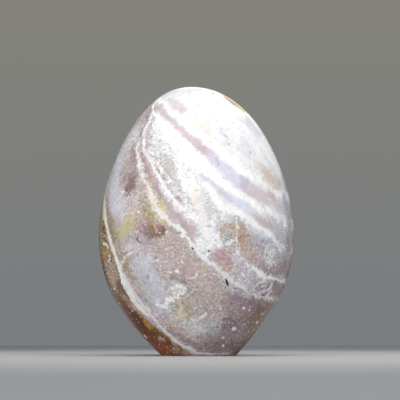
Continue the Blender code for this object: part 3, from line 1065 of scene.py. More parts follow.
# %% Stains: dark knots and straw threads
mark("taupe knot", "warm grey", [(172, 276, 2.5), (176, 279, 3.5)])
mark("red brown knot", "brown mauve", [(182, 270, 1), (184, 277, 1.6), (187, 282, 2)], soft=1.5)
mark("straw halo", "olive", [(175, 305, 3), (184, 309, 4.5), (187, 315, 4)], soft=3.5, cover=0.75)
mark("straw heart", "straw", [(177, 304, 2.5), (179, 311, 3), (183, 316, 2.5), (188, 313, 2)], soft=3,
    cover=0.7)
mark("straw light", "straw", [(184, 303, 1), (185, 310, 1.5)], soft=1.5, cover=0.6)
mark("straw rise", "straw", [(183, 301, 1), (189, 295, 1.2), (195, 289, 1)], soft=1.5, cover=0.8)
mark("straw thread", "cream", [(181, 302, 0.7), (181, 309, 0.8), (180, 315, 0.8), (176, 318, 0.7),
    (170, 319, 0.6)], soft=0.8, ragged=0.7)
mark("straw branch", "straw", [(203, 265, 1), (205, 273, 1.2), (203, 283, 1)], soft=1.2)
mark("thread shade", "warm grey", [(184, 301, 0.5), (190, 297, 0.6), (197, 291, 0.5)], soft=0.8,
    ragged=0.7)
tell("stains: dark knots and straw threads")

# %% Stains: gold and rust in the rim
mark("edge gold", "ochre+gold+ochre", [(104, 249, 2.2), (105, 256, 2.4), (107, 260, 1.5)], patchy=0.35)
mark("low gold", "amber", [(142, 317, 2), (146, 322, 2.5), (151, 328, 2.5), (155, 332, 1.5)], patchy=0.45)
mark("low gold heart", "gold", [(143, 319, 1), (147, 323, 1.5), (152, 329, 1.2)], soft=1.5, patchy=0.5)
mark("low tan", "tan", [(161, 339, 2)], soft=1.5)
mark("low rust", "rust+tan", [(163, 347, 3), (176, 350, 3), (186, 352, 2)], cover=0.8, patchy=0.35)
tell("stains: gold and rust in the rim")

# %% Stains: the red and green spot at the crown
mark("crown green", "crown green", [(221.5, 93, 2), (227, 96.8, 2.7), (233, 101.4, 2.9),
    (239, 106.4, 2.3), (243.5, 110.6, 1.3)], soft=1.2, ragged=1)
mark("crown red", "crown red", [(228, 97.4, 2.1), (232, 100.4, 2.7), (236, 103.6, 1.8)], soft=1.2,
    ragged=1)
mark("crown side", "crown green", hidden=[(225, 92, 4), (234, 96, 6), (244, 103, 6), (250, 111, 3)],
    soft=1.5)
mark("crown side red", "crown red", hidden=[(231, 95, 3), (236, 98, 4), (241, 102, 3)], soft=1.5,
    patchy=0.25)
mark("crown side straw", "straw", hidden=[(243, 100, 1.5), (249, 108, 1.5)], soft=1.5, patchy=0.4)
mark("smudge wash", "plum", [(228, 325, 5), (235, 333, 6), (240, 340, 4)], soft=5, cover=0.5)
tell("stains: the red and green spot at the crown")

# %% [markdown]
# ### Flakes and painted glints
#
# White flakes of quartz are strewn over the lower half, and small white glints are painted where the
# polish catches the light at tiny pits. They could be scattered by chance, but the large ones are what
# the eye finds first, so they are placed, and the material adds the small ones.

# %% Large flakes
mark("upper flake", "snow white", [(174, 293, 2.5), (175, 287.5, 2.8), (180, 286, 3), (181, 289.5, 3.2),
    (178, 293, 3.2), (174, 297, 2.2)], soft=1, ragged=2.6)
mark("upper flake shade", "ice", [(171, 288, 2), (176, 281, 2), (185, 284, 1.5)], cover=0.7, ragged=4)
mark("flake shade", "warm grey", [(178.5, 281.5, 0.7), (174, 287, 0.7), (184, 289, 0.8), (180, 291, 0.6)],
    soft=0.9, ragged=3)
mark("lower flake", "snow white", [(159, 302, 2), (162, 305, 2.8), (166, 304, 2.8), (169, 300, 2.6),
    (172, 299, 1.4)], soft=1, ragged=2.6)
mark("lower flake shade", "ice", [(158, 297, 2), (166, 307, 2)], cover=0.7, ragged=4)
mark("rosy flake", "blush", [(144, 305, 2), (148, 308, 1.5)], soft=1.5)
mark("foot flake", "white", [(156, 313, 0.8), (156.5, 316, 1)], soft=0.8)
mark("foot ring", "blush", [(160, 328, 1), (165, 328, 1), (169, 324, 1), (171, 318, 1)], soft=1)
mark("foot druse", "cool milk", [(203, 329, 2), (206, 331, 1.5)], soft=1.5, patchy=0.4)
tell("large flakes")

# %% Painted white glints and dark specks
# painted glints: small white spots where the polish catches the light at tiny pits
PAINTED_GLINTS = [
    (177.2, 270.8, 1.7), (182.2, 260.8, 1.3), (234.3, 328.6, 1.9), (139, 211.6, 1.2), (132.5, 212.3, 0.9),
    (159.7, 232.6, 0.8), (243.6, 308.2, 1.1), (249.2, 310, 0.8), (249.6, 306.4, 0.6), (220.2, 308.6, 0.9),
    (170.6, 271.6, 0.9), (158, 260.2, 0.8), (123.2, 192, 1), (197, 274.6, 1.1), (233, 289.6, 1.2),
    (223.4, 337.6, 1), (223, 346, 1), (109.5, 256, 0.8), (108.2, 261.6, 0.9), (257, 322.4, 1),
    (262.4, 314, 0.8), (127, 272, 0.8), (145.6, 337, 0.9), (114.4, 288.4, 0.8),
]
SPECKS = [
    (196.4, 117, 0.9), (198.6, 104.6, 0.8), (212.4, 93.2, 0.8), (234, 123.5, 0.9), (222, 128, 0.9),
    (221.5, 131.5, 0.8), (224.5, 134.5, 0.7), (228.3, 137.5, 0.9), (210.6, 141.2, 0.9),
    (226.4, 142.4, 0.8), (230, 145, 0.9), (238.6, 148.4, 0.8), (197, 95, 0.7), (250.6, 152.2, 1.2),
    (146.6, 119.4, 1.1), (137.6, 147, 0.8), (134.6, 167.4, 1.1), (134, 157.6, 1.2), (208.4, 226, 1.3),
    (199.6, 235.4, 1.2), (197.4, 239, 0.9), (194.8, 191.6, 0.9), (176, 117.4, 0.9), (187, 122.4, 0.8),
    (160, 141.4, 1.2), (153.6, 147, 1.1), (150.4, 156, 1.2), (166, 149, 0.9), (137.8, 255.6, 1.2),
    (137.4, 272, 0.9), (147.4, 276.4, 1.3), (151.6, 291, 0.7), (204.4, 328.2, 1.1), (217.6, 327.6, 1),
    (270.4, 247, 0.9), (276, 252.6, 1), (266.4, 254.6, 0.8), (273.4, 258.6, 1), (266.6, 263.4, 0.9),
    (237.4, 288.6, 0.9), (243.6, 278.6, 1), (269, 283.6, 0.9), (212.4, 286.6, 1.2), (221, 301.4, 1),
]
for speck in SPECKS:
    mark("speck", "dark grey", [speck], soft=0.8, cover=0.65, ragged=1.2)
for painted_glint in PAINTED_GLINTS:
    mark("painted_glint", "white", [painted_glint], soft=0.7, ragged=0.6)
tell("painted white glints and dark specks")

# %% Threads, curls, cracks and two painted glints
# painted highlight: a small bright arc where the polish catches the light
mark("crescent glint", "white", [(199.5, 317.6, 0.6), (203.5, 316, 0.9), (206.5, 313.4, 0.5)], soft=0.8,
    ragged=0.4)
# painted glint: a short bright line where the polish catches the light
mark("thread", "cream", [(191.5, 279, 0.5), (196, 276.6, 0.8), (197.5, 273, 0.6)], soft=0.8, ragged=0.6)
mark("rim hook", "cream", [(104, 243, 0.8), (107, 246, 0.9), (109, 249, 0.7)], soft=0.8)
mark("curl", "white", [(222, 209, 0.6), (224.4, 212, 0.8), (224, 216, 0.7)], soft=0.8, ragged=0.6)
mark("left curl", "white", [(213, 206, 0.6), (215, 203.6, 0.7), (218, 204, 0.6)], soft=0.8, ragged=0.6)
mark("crack", "warm grey", [(257, 200, 0.35), (263, 206, 0.4), (267, 214, 0.4), (271, 226, 0.35)],
    soft=0.7, cover=0.7, ragged=0.3)
mark("fine crack", "warm grey", [(249, 156, 0.3), (251, 170, 0.35), (255, 178, 0.3)], soft=0.7, cover=0.6,
    ragged=0.3)
tell("threads, curls and cracks")

# %% [markdown]
# ### White veins of the front
#
# The veins are quartz that filled cracks, so they are sharp, a little lumpy and the whitest thing on the
# stone. They could be thin solids let into the surface, but polishing leaves no step, so only their depth
# is kept.

# %% Veins: where they run
RIM_VEIN = [
    (111, 168, 0.5), (107, 184, 0.8), (104.6, 198, 1.1), (104.3, 210, 1.3), (106, 223, 1.4),
    (108.6, 235, 1.4), (112, 246, 1.5), (115.2, 256, 1.5), (118.4, 266, 1.4), (121.3, 275.5, 1.7),
    (124, 283, 2.3), (127.8, 290.5, 2.5), (132.3, 298, 2.3), (138, 305.5, 2), (144, 312, 1.4),
    (149, 317, 0.8),
]
RIM_INNER_VEIN = [
    (116.5, 259, 0.6), (118.5, 265, 1), (121, 271.5, 1.2), (125.3, 279.5, 1.5), (130.8, 288.5, 1.6),
    (137.2, 298, 1.6), (144, 306.5, 1.5), (150.2, 314.5, 1.3), (156.8, 322, 1.2), (163.5, 329.5, 1.2),
    (171.5, 337.2, 1.3), (182, 345, 1.3), (195.8, 352, 1.2),
]
RIM_BRANCH = [(120, 266, 1), (123, 260, 1.2), (126, 256, 1.2), (131, 253, 0.8)]
MAIN_VEIN = [
    (138, 143, 0.5), (137, 151, 0.8), (138, 160, 1), (140.5, 170, 1.3), (144.5, 181, 1.6),
    (150.5, 192, 1.7), (154.5, 203, 2), (160, 213, 2), (168, 220, 1.7), (176, 226.5, 1.5),
    (184, 234, 1.6), (190, 243, 2), (198, 252, 2.3), (206, 259.5, 2.5), (219, 270, 2), (229, 277.5, 2.3),
    (238, 284.5, 1.9), (247, 291.5, 1.5), (257, 296.5, 1.1), (266, 298.5, 1), (276, 299, 1),
]
SECOND_VEIN = [
    (150.5, 117, 0.2), (149.2, 122, 0.3), (146.8, 125, 0.35), (144.4, 131, 0.45), (143.8, 139, 0.55),
    (144.6, 148, 0.8), (147.5, 157, 0.9), (152, 166, 1), (158, 176, 1.2), (163.5, 185, 1.2),
    (169.5, 194, 1.2), (176, 203, 1.3), (183.5, 209.5, 1.3), (190, 214, 1.4), (198, 220, 1.5),
]
THIRD_VEIN = [
    (236, 249, 1), (240, 257, 1.2), (248, 264, 1.4), (256, 270, 2), (263, 276, 2), (272, 278, 1.8),
    (281, 281, 1.6),
]
tell_length("great vein", MAIN_VEIN, FAR_MAIN_VEIN)
tell_length("rim vein", RIM_VEIN[::-1], FAR_RIM_VEIN)

# %% Veins: the glow beside them
mark("rim vein glow", "blush", widened(RIM_INNER_VEIN, 1), cover=0.5)
mark("main vein glow", "pearl", widened(MAIN_VEIN, 1.2), cover=0.5)
mark("main vein foot", "lavender", [(210, 269, 2), (219, 275.5, 2.5), (237, 292, 2), (249, 298, 2)],
    cover=0.7)
mark("second vein glow", "white", widened(SECOND_VEIN, 0.8), cover=0.7)
mark("third vein glow", "ice", widened(THIRD_VEIN, 1.5), cover=0.5)
tell("veins: the glow beside them")

# %% Veins: round the rim and the foot
# painted highlight: the same bright arc, kept sharp as a vein
vein("crescent line", "snow white", [(198.5, 317.8, 0.5), (202.5, 316.8, 0.9), (206, 314, 0.7)],
    ragged=0.4, lumps=1)
vein("rim core", "white+snow white+snow white+bone+bone+bone+bone+white+bone+bone+bone+bone",
    RIM_VEIN[::-1], FAR_RIM_VEIN, ragged=0.4, lumps=1)
vein("rim side", "pearl+blush white+pearl+pearl", RIM_INNER_VEIN, ragged=0.5, lumps=1)
vein("rim fork", "bone", RIM_BRANCH)
vein("rim twig", "bone", [(104.5, 243, 0.4), (107.5, 246.5, 0.6), (109.5, 250, 0.5)], ragged=0.6)
vein("rim arc", "bone", [(107.5, 262, 0.4), (110, 258.5, 0.6), (109.4, 254.6, 0.5)], ragged=0.6)
vein("rim wing", "blush white", [(146, 304, 0.8), (148.5, 307.5, 1), (150, 311, 1.2)])
vein("foot line", "pale mauve", [(156, 322, 1), (160, 328, 0.8), (165, 328, 0.8), (169.5, 323, 0.7),
    (171, 318, 0.5)])
vein("foot edge line", "blush white", [(163, 329, 0.6), (172, 337, 0.6), (184, 345, 0.7), (197, 351, 0.7)])
vein("bottom line", "blush white", [(192, 352.5, 0.8), (210, 354, 0.9), (228, 353.5, 0.7)], ragged=0.5)
tell("veins: round the rim and the foot")

# %% Veins: the great vein and its neighbours
vein("great vein", "blush white+tongue+bone+white+snow white+blush white+pearl+blush white+lavender+"
    "blush white+white+white+white+white+white+white", MAIN_VEIN, FAR_MAIN_VEIN, ragged=1.8, lumps=3)
vein("rim glint", "bone+snow white+snow white", [(120, 273, 0.6), (122.8, 279, 1.5), (126, 285.5, 2),
    (129.8, 291.5, 1.8), (134.5, 299, 1.3)], ragged=0.5, lumps=1)
vein("upper vein", "white+white+white+snow white", SECOND_VEIN, lumps=1.5)
vein("shoulder vein", "white", [(159.5, 99, 0.8), (154.5, 104, 0.9), (153, 110, 1), (155, 116, 0.9)],
    ragged=0.8)
vein("wedge side", "white", [(150.5, 113, 0.4), (152, 121, 0.6), (154, 129, 0.5)])
vein("lower vein", "white+snow white+white+pearl+white+snow white+snow white+white+white+white",
    THIRD_VEIN, FAR_UPPER_VEIN, ragged=1.5, lumps=3)
tell("veins: the great vein and its neighbours")

# %% Veins: small curls, loops and posts
vein("green arc", "white", [(145.5, 151, 0.5), (149, 149.5, 0.7), (152.5, 146, 0.6)])
vein("patch arc", "white", [(152, 160, 0.6), (157, 163, 0.8), (161, 168, 0.8), (161.5, 173, 0.5)],
    ragged=1.5)
vein("patch lump", "snow white", [(169, 176, 0.8), (171, 180, 1.2), (168, 183, 0.8)], ragged=1.5)
vein("loop top", "pearl", [(254, 291, 0.8), (255.5, 286, 1), (260, 282.5, 1.1), (266, 281, 1),
    (271.5, 282.5, 0.8)], ragged=0.8, lumps=1.5)
vein("loop low", "pearl", [(272, 284, 0.7), (269, 289, 0.9), (262, 292, 0.9), (256, 292, 0.8)],
    ragged=0.8, lumps=1.5)
vein("loop crossing", "pearl", [(260, 288, 0.5), (265, 285.5, 0.6), (270, 286, 0.5)], ragged=0.8)
vein("loop end", "pearl", [(261, 302, 0.4), (264.5, 299.5, 0.7), (269, 294, 0.7), (273, 290, 0.4)],
    ragged=1.2)
vein("pocket rim", "white", [(240.4, 276, 0.6), (243.4, 274.2, 0.8), (246.8, 277, 0.7), (245.6, 281, 0.6)])
vein("pocket tail", "snow white", [(234, 276, 0.6), (238, 277.5, 0.8), (241, 280.6, 0.7)], ragged=1.2)
vein("snow curl", "snow white", [(214, 210, 0.6), (218, 208, 0.9), (222.5, 210.5, 1), (224, 215.5, 0.8),
    (222, 219, 0.5)])
vein("snow post", "snow white", [(236.6, 219, 0.7), (237, 228, 0.8), (237, 238, 0.9), (237, 249, 1),
    (239, 256, 1)])
vein("druse side", "white", [(224, 244, 1), (229, 243, 1.1), (234, 240, 0.9)], ragged=1.5)
vein("veil streak", "snow white", [(268, 205, 0.5), (271, 212, 0.6), (275, 219, 0.4)], ragged=1.5)
vein("frost streak", "pearl", [(268, 243, 0.5), (266, 252, 0.7), (269, 262, 0.6)], ragged=2)
vein("frost side streak", "pearl", [(272, 262, 0.5), (270, 268, 0.7), (274, 271, 0.4)], ragged=2)
tell("veins: small curls, loops and posts")

# %% [markdown]
# ### Where it is calm and where it is sugary
#
# The milky parts have hardly any grain, and some pockets are filled with tiny crystals that glitter dark
# and pale. A second set of strokes sets how strong the speckle and the crystals of the material are at
# each place.

# %% Calm places
texture("snow is clean", speckle, 0.4, [(198, 230, 6), (206, 243, 7), (213, 228, 6)])
texture("snow top is clean", speckle, 0.4, [(208, 184, 5), (217, 202, 6), (227, 212, 6), (236, 219, 4)])
texture("field is calm", speckle, 0.35, [(250, 231, 4), (258, 235, 5), (266, 238, 4)], soft=3)
texture("bands are calm", speckle, 0.3, [(160, 115, 5), (190, 150, 12), (225, 185, 16), (252, 212, 16),
    (272, 230, 9)], soft=6)
texture("milk is calm", speckle, 0.2, [(170, 98, 15), (205, 118, 34), (240, 140, 34), (262, 185, 34)],
    soft=8)
texture("tongue is calm", speckle, 0.2, [(191, 181, 3), (194.5, 192, 6), (198, 205, 6), (203, 218, 4)],
    soft=3)
texture("mauve is calm", speckle, 0.4, [(150, 172, 3), (161, 193, 4), (175, 212, 5), (192, 231, 5)],
    soft=3)
texture("lobe is calm", speckle, 0.6, [(141, 257, 7), (145, 275, 11), (156, 297, 9)])
texture("flank is calm", speckle, 0.6, [(119, 150, 4), (116, 170, 6), (113, 192, 8), (115, 215, 8)])
texture("rim is rough", speckle, 1.4, [(101, 222, 4), (102, 246, 5), (108, 270, 7), (117, 290, 8),
    (140, 325, 8), (165, 345, 6)], soft=2)
texture("stain is calm", speckle, 0.4, [(133, 216, 4), (128, 224, 6), (121, 234, 5)], soft=3)
texture("shelf is calm", speckle, 0.4, [(126, 243, 5), (138, 245, 5), (148, 241, 4)], soft=3)
texture("rose patch is calm", speckle, 0.4, [(184, 264, 3), (190, 270, 6)], soft=2)
texture("upper right is calm", speckle, 0.3, [(240, 125, 8), (255, 150, 14), (262, 175, 12)], soft=6)
tell("calm places")

# %% Sugary places
texture("left patch grains", crystals, 0.5, [(136, 196, 6), (138, 207, 7)], soft=3)
texture("green milk grains", crystals, 0.25, [(156, 142, 6), (163, 147, 6)])
texture("snow top is calm", crystals, 0.12, [(208, 184, 5), (217, 202, 6), (227, 212, 6), (238, 221, 4)])
texture("field has no grains", crystals, 0.1, [(250, 236, 5), (259, 242, 5), (250, 249, 5)])
texture("grey patch grains", crystals, 0.45, [(168, 174, 6), (176, 190, 6)], soft=3)
texture("pocket grains", crystals, 0.8, [(186, 201, 4), (190, 206, 3)], soft=2)
texture("tan crystal pocket", crystals, 1, [(229, 235, 6), (231, 243, 5), (225, 247, 3)], soft=2)
texture("snow grains", crystals, 0.18, [(200, 232, 10), (206, 245, 9)])
texture("smoke grains", crystals, 0.9, [(269, 244, 6), (269, 254, 8), (271, 264, 7), (281, 266, 5)])
texture("flake grains", crystals, 0.5, [(178, 288, 7), (165, 303, 6)], soft=3)
texture("veil grains", crystals, 0.4, [(268, 206, 4), (275, 220, 5), (281, 234, 5)])
texture("shoulder grains", crystals, 0.35, [(140, 118, 5), (133, 132, 6)])
texture("druse grains", crystals, 1, [(243.5, 277.5, 3)], soft=1.5)
texture("loop grains", crystals, 0.6, [(262, 288, 5)], soft=2)
texture("foot grains", crystals, 0.5, [(204, 329, 4)], soft=2)
texture("vein grains", crystals, 0.4, [(200, 253, 4), (215, 267, 4), (233, 280, 5), (243, 288, 4)], soft=2)
tell("sugary places")

# %% [markdown]
# ## The marks go on to the mesh
#
# The pattern of a real stone is in the rock. A painted image wrapped round it could carry the pattern
# here, but it would have to be unwrapped and would blur at its seams. Each point of the mesh keeps its
# colour and its depth in a vein or a pit instead, as attributes that the material reads.

# %% Keep the marks on the points
def keep(mesh, name, kind, values):
    """Stores one value or colour for each point of the mesh."""
    layer = mesh.attributes.new(name, kind, "POINT")
    field = "color" if kind == "FLOAT_COLOR" else "value"
    layer.data.foreach_set(field, np.asarray(values, dtype=np.float32).ravel())


mesh = bpy.data.meshes.new("polished_stone")
egg.to_mesh(mesh)
egg.free()
mesh.shade_smooth()
keep(mesh, "stone_colour", "FLOAT_COLOR", np.column_stack([colour, np.ones(len(colour))]))
keep(mesh, "vein_depth", "FLOAT", vein_depth)
keep(mesh, "vein_colour", "FLOAT_COLOR", np.column_stack([vein_colour, np.ones(len(colour))]))
keep(mesh, "crystals", "FLOAT", crystals)
keep(mesh, "speckle", "FLOAT", speckle)
keep(mesh, "hollow", "FLOAT", pit_depth * 1000)
mesh.calc_loop_triangles()
print("triangles:", len(mesh.loop_triangles))

# %% Set the stone in the frame
stone = bpy.data.objects.new("polished_stone", mesh)
bpy.context.scene.collection.objects.link(stone)
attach(stone, "root")
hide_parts("jasper_stone")
print("in the frame:", stone.name)

# %% [markdown]
# ## The polished surface
#
# Agate takes a glassy polish. Light could be let into it with subsurface scattering, which is slow and
# hardly seen on a stone this opaque. A plain principled surface with the refraction of quartz, 1.54, and
# a low roughness gives the clear window reflection that a buffed agate shows.

# %% Start the material
POLISH = 0.07  # how rough the buffed surface is
QUARTZ = 1.54  # how strongly it bends light
jasper = bpy.data.materials.new("polished_jasper")
jasper.use_nodes = True
nodes = jasper.node_tree.nodes
links = jasper.node_tree.links
shader = nodes["Principled BSDF"]
shader.inputs["IOR"].default_value = QUARTZ
mesh.materials.append(jasper)
print("material:", jasper.name, "on", len(mesh.materials), "slot")

# %% [markdown]
# ### Helpers for nodes
#
# The same few nodes come again and again: a stored value, a sum, a fade, a blend and two noises. Each
# could be wired by hand every time. A small function for each keeps the recipe of a finish as short as
# its description.

# %% Values, sums and fades
def stored(name, output="Fac"):
    """A value that the points carry."""
    node = nodes.new("ShaderNodeAttribute")
    node.attribute_name = name
    return node.outputs[output]


def fed(kind, sockets, terms):
    """A node whose sockets take links and plain values, in the tree that the links come from."""
    tree = next(term.id_data for term in terms if isinstance(term, bpy.types.NodeSocket))
    node = tree.nodes.new(kind)
    if kind == "ShaderNodeMix":
        node.data_type = "RGBA"
    for socket, term in zip(sockets, terms):
        if isinstance(term, bpy.types.NodeSocket):
            tree.links.new(term, node.inputs[socket])
        else:
            node.inputs[socket].default_value = term
    return node


def sum_of(operation, *terms):
    """A Math node over links and numbers."""
    node = fed("ShaderNodeMath", range(3), terms)
    node.operation = operation
    return node.outputs[0]


def fade(value, low, high, start=0.0, end=1.0, way="SMOOTHSTEP"):
    """A change from start to end while the value goes from low to high."""
    sockets = ("Value", "From Min", "From Max", "To Min", "To Max")
    node = fed("ShaderNodeMapRange", sockets, (value, low, high, start, end))
    node.interpolation_type = way
    return node.outputs["Result"]


def blend(share, first, second, way="MIX"):
    """Two colours, mixed by the share."""
    node = fed("ShaderNodeMix", ("Factor", "A", "B"), (share, first, second))
    node.blend_type = way
    return node.outputs["Result"]


place = nodes.new("ShaderNodeTexCoord").outputs["Object"]
ground = stored("stone_colour", "Color")
veins = stored("vein_depth")
vein_ground = stored("vein_colour", "Color")
grains = stored("crystals")
dots = stored("speckle")
hollow = stored("hollow")
print("the material reads", sum(node.type == "ATTRIBUTE" for node in nodes), "stored values")

# %% Noises, fixed to the stone
def noise_node(scale, detail=3.0, roughness=0.6, output="Fac"):
    """A cloudy noise; the scale is waves to a metre."""
    sockets = ("Vector", "Scale", "Detail", "Roughness")
    return fed("ShaderNodeTexNoise", sockets, (place, scale, detail, roughness)).outputs[output]


WOBBLE = 0.0012
tremor = noise_node(900, 2, output="Color")
shake = fed("ShaderNodeVectorMath", range(3), (tremor, (WOBBLE, WOBBLE, WOBBLE), place))
shake.operation = "MULTIPLY_ADD"
wobbly = shake.outputs[0]


def cells(scale):
    """Cells with uneven borders; each has a distance from its middle, and three dice."""
    node = fed("ShaderNodeTexVoronoi", ("Vector", "Scale"), (wobbly, scale))
    dice = fed("ShaderNodeSeparateColor", ("Color",), (node.outputs["Color"],))
    return node.outputs["Distance"], dice.outputs["Red"], dice.outputs["Green"]


fine = noise_node(800, 5, 0.65)
mottle = noise_node(300, 4)
print("noises:", sum(node.type == "TEX_NOISE" for node in nodes))

# %% [markdown]
# ### Mottling
#
# Even a plain part of the stone is faintly cloudy, and finer than the points of the mesh can hold. Two
# noises, one of about 3 mm and one of about 1 mm, make the stored colour a little lighter and darker.

# %% Mottling of the ground
CLOUDS = (0.93, 1.07)  # the darkest and the lightest
GRAIN_CONTRAST = 2.2
cloudy = fade(mottle, 0.3, 0.7, *CLOUDS)
contrast = sum_of("MULTIPLY", dots, GRAIN_CONTRAST)
flecked = sum_of("MULTIPLY_ADD", sum_of("SUBTRACT", fine, 0.5), contrast, 1.0)
level = sum_of("MULTIPLY", cloudy, flecked)
tone = fed("ShaderNodeCombineColor", range(3), (level, level, level)).outputs[0]
paint = blend(1.0, ground, tone, "MULTIPLY")
print("mottled:", len(nodes), "nodes")

# %% [markdown]
# ### Dots
#
# The sandy parts are packed with grains of all greys, under a millimetre wide. A noise has no separate
# grains, so these are cells: the colour of a cell decides whether it is a grain, how large it is, and
# dark or pale.

# %% Dots of all greys
DARK_GRAIN = (0.45, 0.42, 0.42, 1)
PALE_GRAIN = (0.86, 0.82, 0.80, 1)
NO_GRAIN = 0.35  # the share of cells that stay empty
speck_way, speck_tint, speck_size = cells(780)
speck_reach = sum_of("MULTIPLY", sum_of("SUBTRACT", speck_size, NO_GRAIN), 0.7)
speck_share = fade(sum_of("SUBTRACT", speck_reach, speck_way), 0.0, 0.12)
speck_share = sum_of("MULTIPLY", sum_of("MULTIPLY", speck_share, dots), 0.75)
dark_speck = blend(1.0, ground, DARK_GRAIN, "MULTIPLY")
speck_paint = blend(sum_of("GREATER_THAN", speck_tint, 0.5), dark_speck, PALE_GRAIN)
paint = blend(speck_share, paint, speck_paint)
print("dotted:", len(nodes), "nodes")

# %% [markdown]
# ### Crystal grains
#
# A pocket of small quartz crystals looks like wet sugar: dark where one looks into a crystal, pale where
# it shines. One rough noise gives both, its valleys dark and its peaks pale, only where the crystals
# attribute says.

# %% Crystal grains, dark and pale
INTO_CRYSTAL = (0.24, 0.24, 0.22, 1)
CRYSTAL_FACE = (0.88, 0.88, 0.86, 1)
sugar = noise_node(1300, 5, 0.8)
dark_grain = sum_of("MULTIPLY", fade(sugar, 0.47, 0.38), grains)
pale_grain = sum_of("MULTIPLY", fade(sugar, 0.52, 0.60), grains)
paint = blend(sum_of("MULTIPLY", dark_grain, 0.75), paint, INTO_CRYSTAL)
paint = blend(sum_of("MULTIPLY", pale_grain, 0.9), paint, CRYSTAL_FACE)
print("sugared:", len(nodes), "nodes")

# %% [markdown]
# ### Veins
#
# A vein has a solid white core with a crumbly border, and loose crumbs beside it. The stored depth could
# simply be cut at zero, which would give a ribbon. Here a rough noise is added to the depth first, and a
# stronger one for the crumbs, so the border is as broken as the real one and still sharp close by.

# %% White veins: a solid core, and crumbs beside it
CORE_RAGGED = 3.5  # millimetres that the noise moves the border
CRUMBS_SPREAD = 9.0
crumble = noise_node(620, 5, 0.75)
ragged_depth = sum_of("MULTIPLY_ADD", sum_of("SUBTRACT", crumble, 0.5), CORE_RAGGED, veins)
vein_share = fade(ragged_depth, -0.25, 0.35)
beside = sum_of("ADD", veins, -0.4)
crumb_depth = sum_of("MULTIPLY_ADD", sum_of("SUBTRACT", fine, 0.5), CRUMBS_SPREAD, beside)
crumb_share = sum_of("MULTIPLY", fade(crumb_depth, 0.0, 0.5), fade(veins, -2.0, -0.5))
vein_tint = blend(fade(mottle, 0.62, 0.38, 0.0, 0.25), vein_ground, ground)
paint = blend(sum_of("MULTIPLY", crumb_share, 0.6), paint, vein_tint)
paint = blend(vein_share, paint, vein_tint)
print("veined:", len(nodes), "nodes")

# %% [markdown]
# ### Small painted glints
#
# Beside the placed glints there is a dusting of tiny white flecks, painted glints of the polish. They
# carry no shape worth placing, so they are cells again, one in seven of them, and none where the stone is
# calm.

# %% Sparse painted glints
# painted glints: tiny white flecks where the polish catches the light
GLINT_WHITE = (0.92, 0.90, 0.86, 1)
EMPTY_CELLS = 0.86
glint_way, chosen, glint_size = cells(520)
size = sum_of("MULTIPLY", sum_of("GREATER_THAN", chosen, EMPTY_CELLS), glint_size)
reach = sum_of("MULTIPLY", sum_of("MULTIPLY", size, 0.30), sum_of("MINIMUM", dots, 1.0))
glint_share = fade(sum_of("SUBTRACT", reach, glint_way), 0.0, 0.10)
paint = blend(glint_share, paint, GLINT_WHITE)
print("flecked:", len(nodes), "nodes")

# %% [markdown]
# ### Dark hollows
#
# Little light comes out of the pits. The bowls are real, but a millimetre deep they would still look pale,
# so the depth stored on their points also darkens them: a painted shade in each pit.

# %% Dark hollows
# painted shade: the pits are darkened, nearly to black where they are deepest
PIT_SHADE = (0.05, 0.045, 0.045, 1)
paint = blend(fade(hollow, 0.15, 0.7), paint, PIT_SHADE)
links.new(paint, shader.inputs["Base Color"])
print("colour done:", len(nodes), "nodes")

# %% [markdown]
# ### How well each part took the polish
#
# Loose grains take the polish less well than the agate round them, so the shine breaks up over a crystal
# pocket. The same dark grains that colour it also raise the roughness and press a shallow relief into the
# surface.

# %% Polish and relief
GRAIN_DEPTH = 0.0002
unpolished = sum_of("ADD", dark_grain, sum_of("MULTIPLY", speck_share, 0.3))
links.new(sum_of("MULTIPLY_ADD", unpolished, 0.30, POLISH), shader.inputs["Roughness"])
height = sum_of("SUBTRACT", sum_of("MULTIPLY", crumb_share, 0.3), dark_grain)
relief = fed("ShaderNodeBump", ("Height", "Strength", "Distance"), (height, 0.25, GRAIN_DEPTH))
links.new(relief.outputs["Normal"], shader.inputs["Normal"])
print("material done:", len(nodes), "nodes and", len(links), "links")

# %% [markdown]
# ## Lights
#
# The stone is lit by one large window above and in front, which it mirrors as the soft pale patch of its
# upper part. Small lamps would mirror as hard spots, so every light is a wide rectangle whose sides fade.
# Two weak ones lift the shaded side, one touches the right edge and one the back.

# %% A soft rectangle of light
STONE_MIDDLE = Vector((0, 0, 0.08))
LIGHT_DISTANCE = 0.9
bpy.context.scene.view_settings.view_transform = "Standard"


def towards(azimuth, elevation):
    """The way from the stone at that azimuth, which 0 puts in front and 90 to the right, in degrees."""
    turn, rise = math.radians(azimuth), math.radians(elevation)
    return Vector((math.sin(turn) * math.cos(rise), -math.cos(turn) * math.cos(rise), math.sin(rise)))


def softbox(name, azimuth, elevation, across, along, share, blur):
    """A rectangle of light whose left, right, low and high sides fade; share is how brightly it lights."""
    data = bpy.data.lights.new(name, "AREA")
    data.shape = "RECTANGLE"
    data.size = across[1] - across[0]
    data.size_y = along[1] - along[0]
    data.energy = share * (math.pi * LIGHT_DISTANCE) ** 2
    data.use_nodes = True
    tree = data.node_tree
    spot = tree.nodes.new("ShaderNodeNewGeometry").outputs["Parametric"]
    split = fed("ShaderNodeSeparateXYZ", ("Vector",), (spot,))
    strength = 1.0
    for side, edge, faded in zip("XXYY", (0, 1, 0, 1), blur):
        rise = fade(split.outputs[side], edge, edge + faded * (1 - 2 * edge))
        strength = sum_of("MULTIPLY", rise, strength)
    tree.links.new(strength, tree.nodes["Emission"].inputs["Strength"])
    lamp = bpy.data.objects.new(name, data)
    facing = (-towards(azimuth, elevation)).to_track_quat("-Z", "Y")
    offset = facing @ Vector((sum(across) / 2, sum(along) / 2, 0))
    lamp.location = STONE_MIDDLE + towards(azimuth, elevation) * LIGHT_DISTANCE + offset
    lamp.rotation_euler = facing.to_euler()
    bpy.context.scene.collection.objects.link(lamp)
    return lamp


print("lights stand", LIGHT_DISTANCE, "m from the stone")

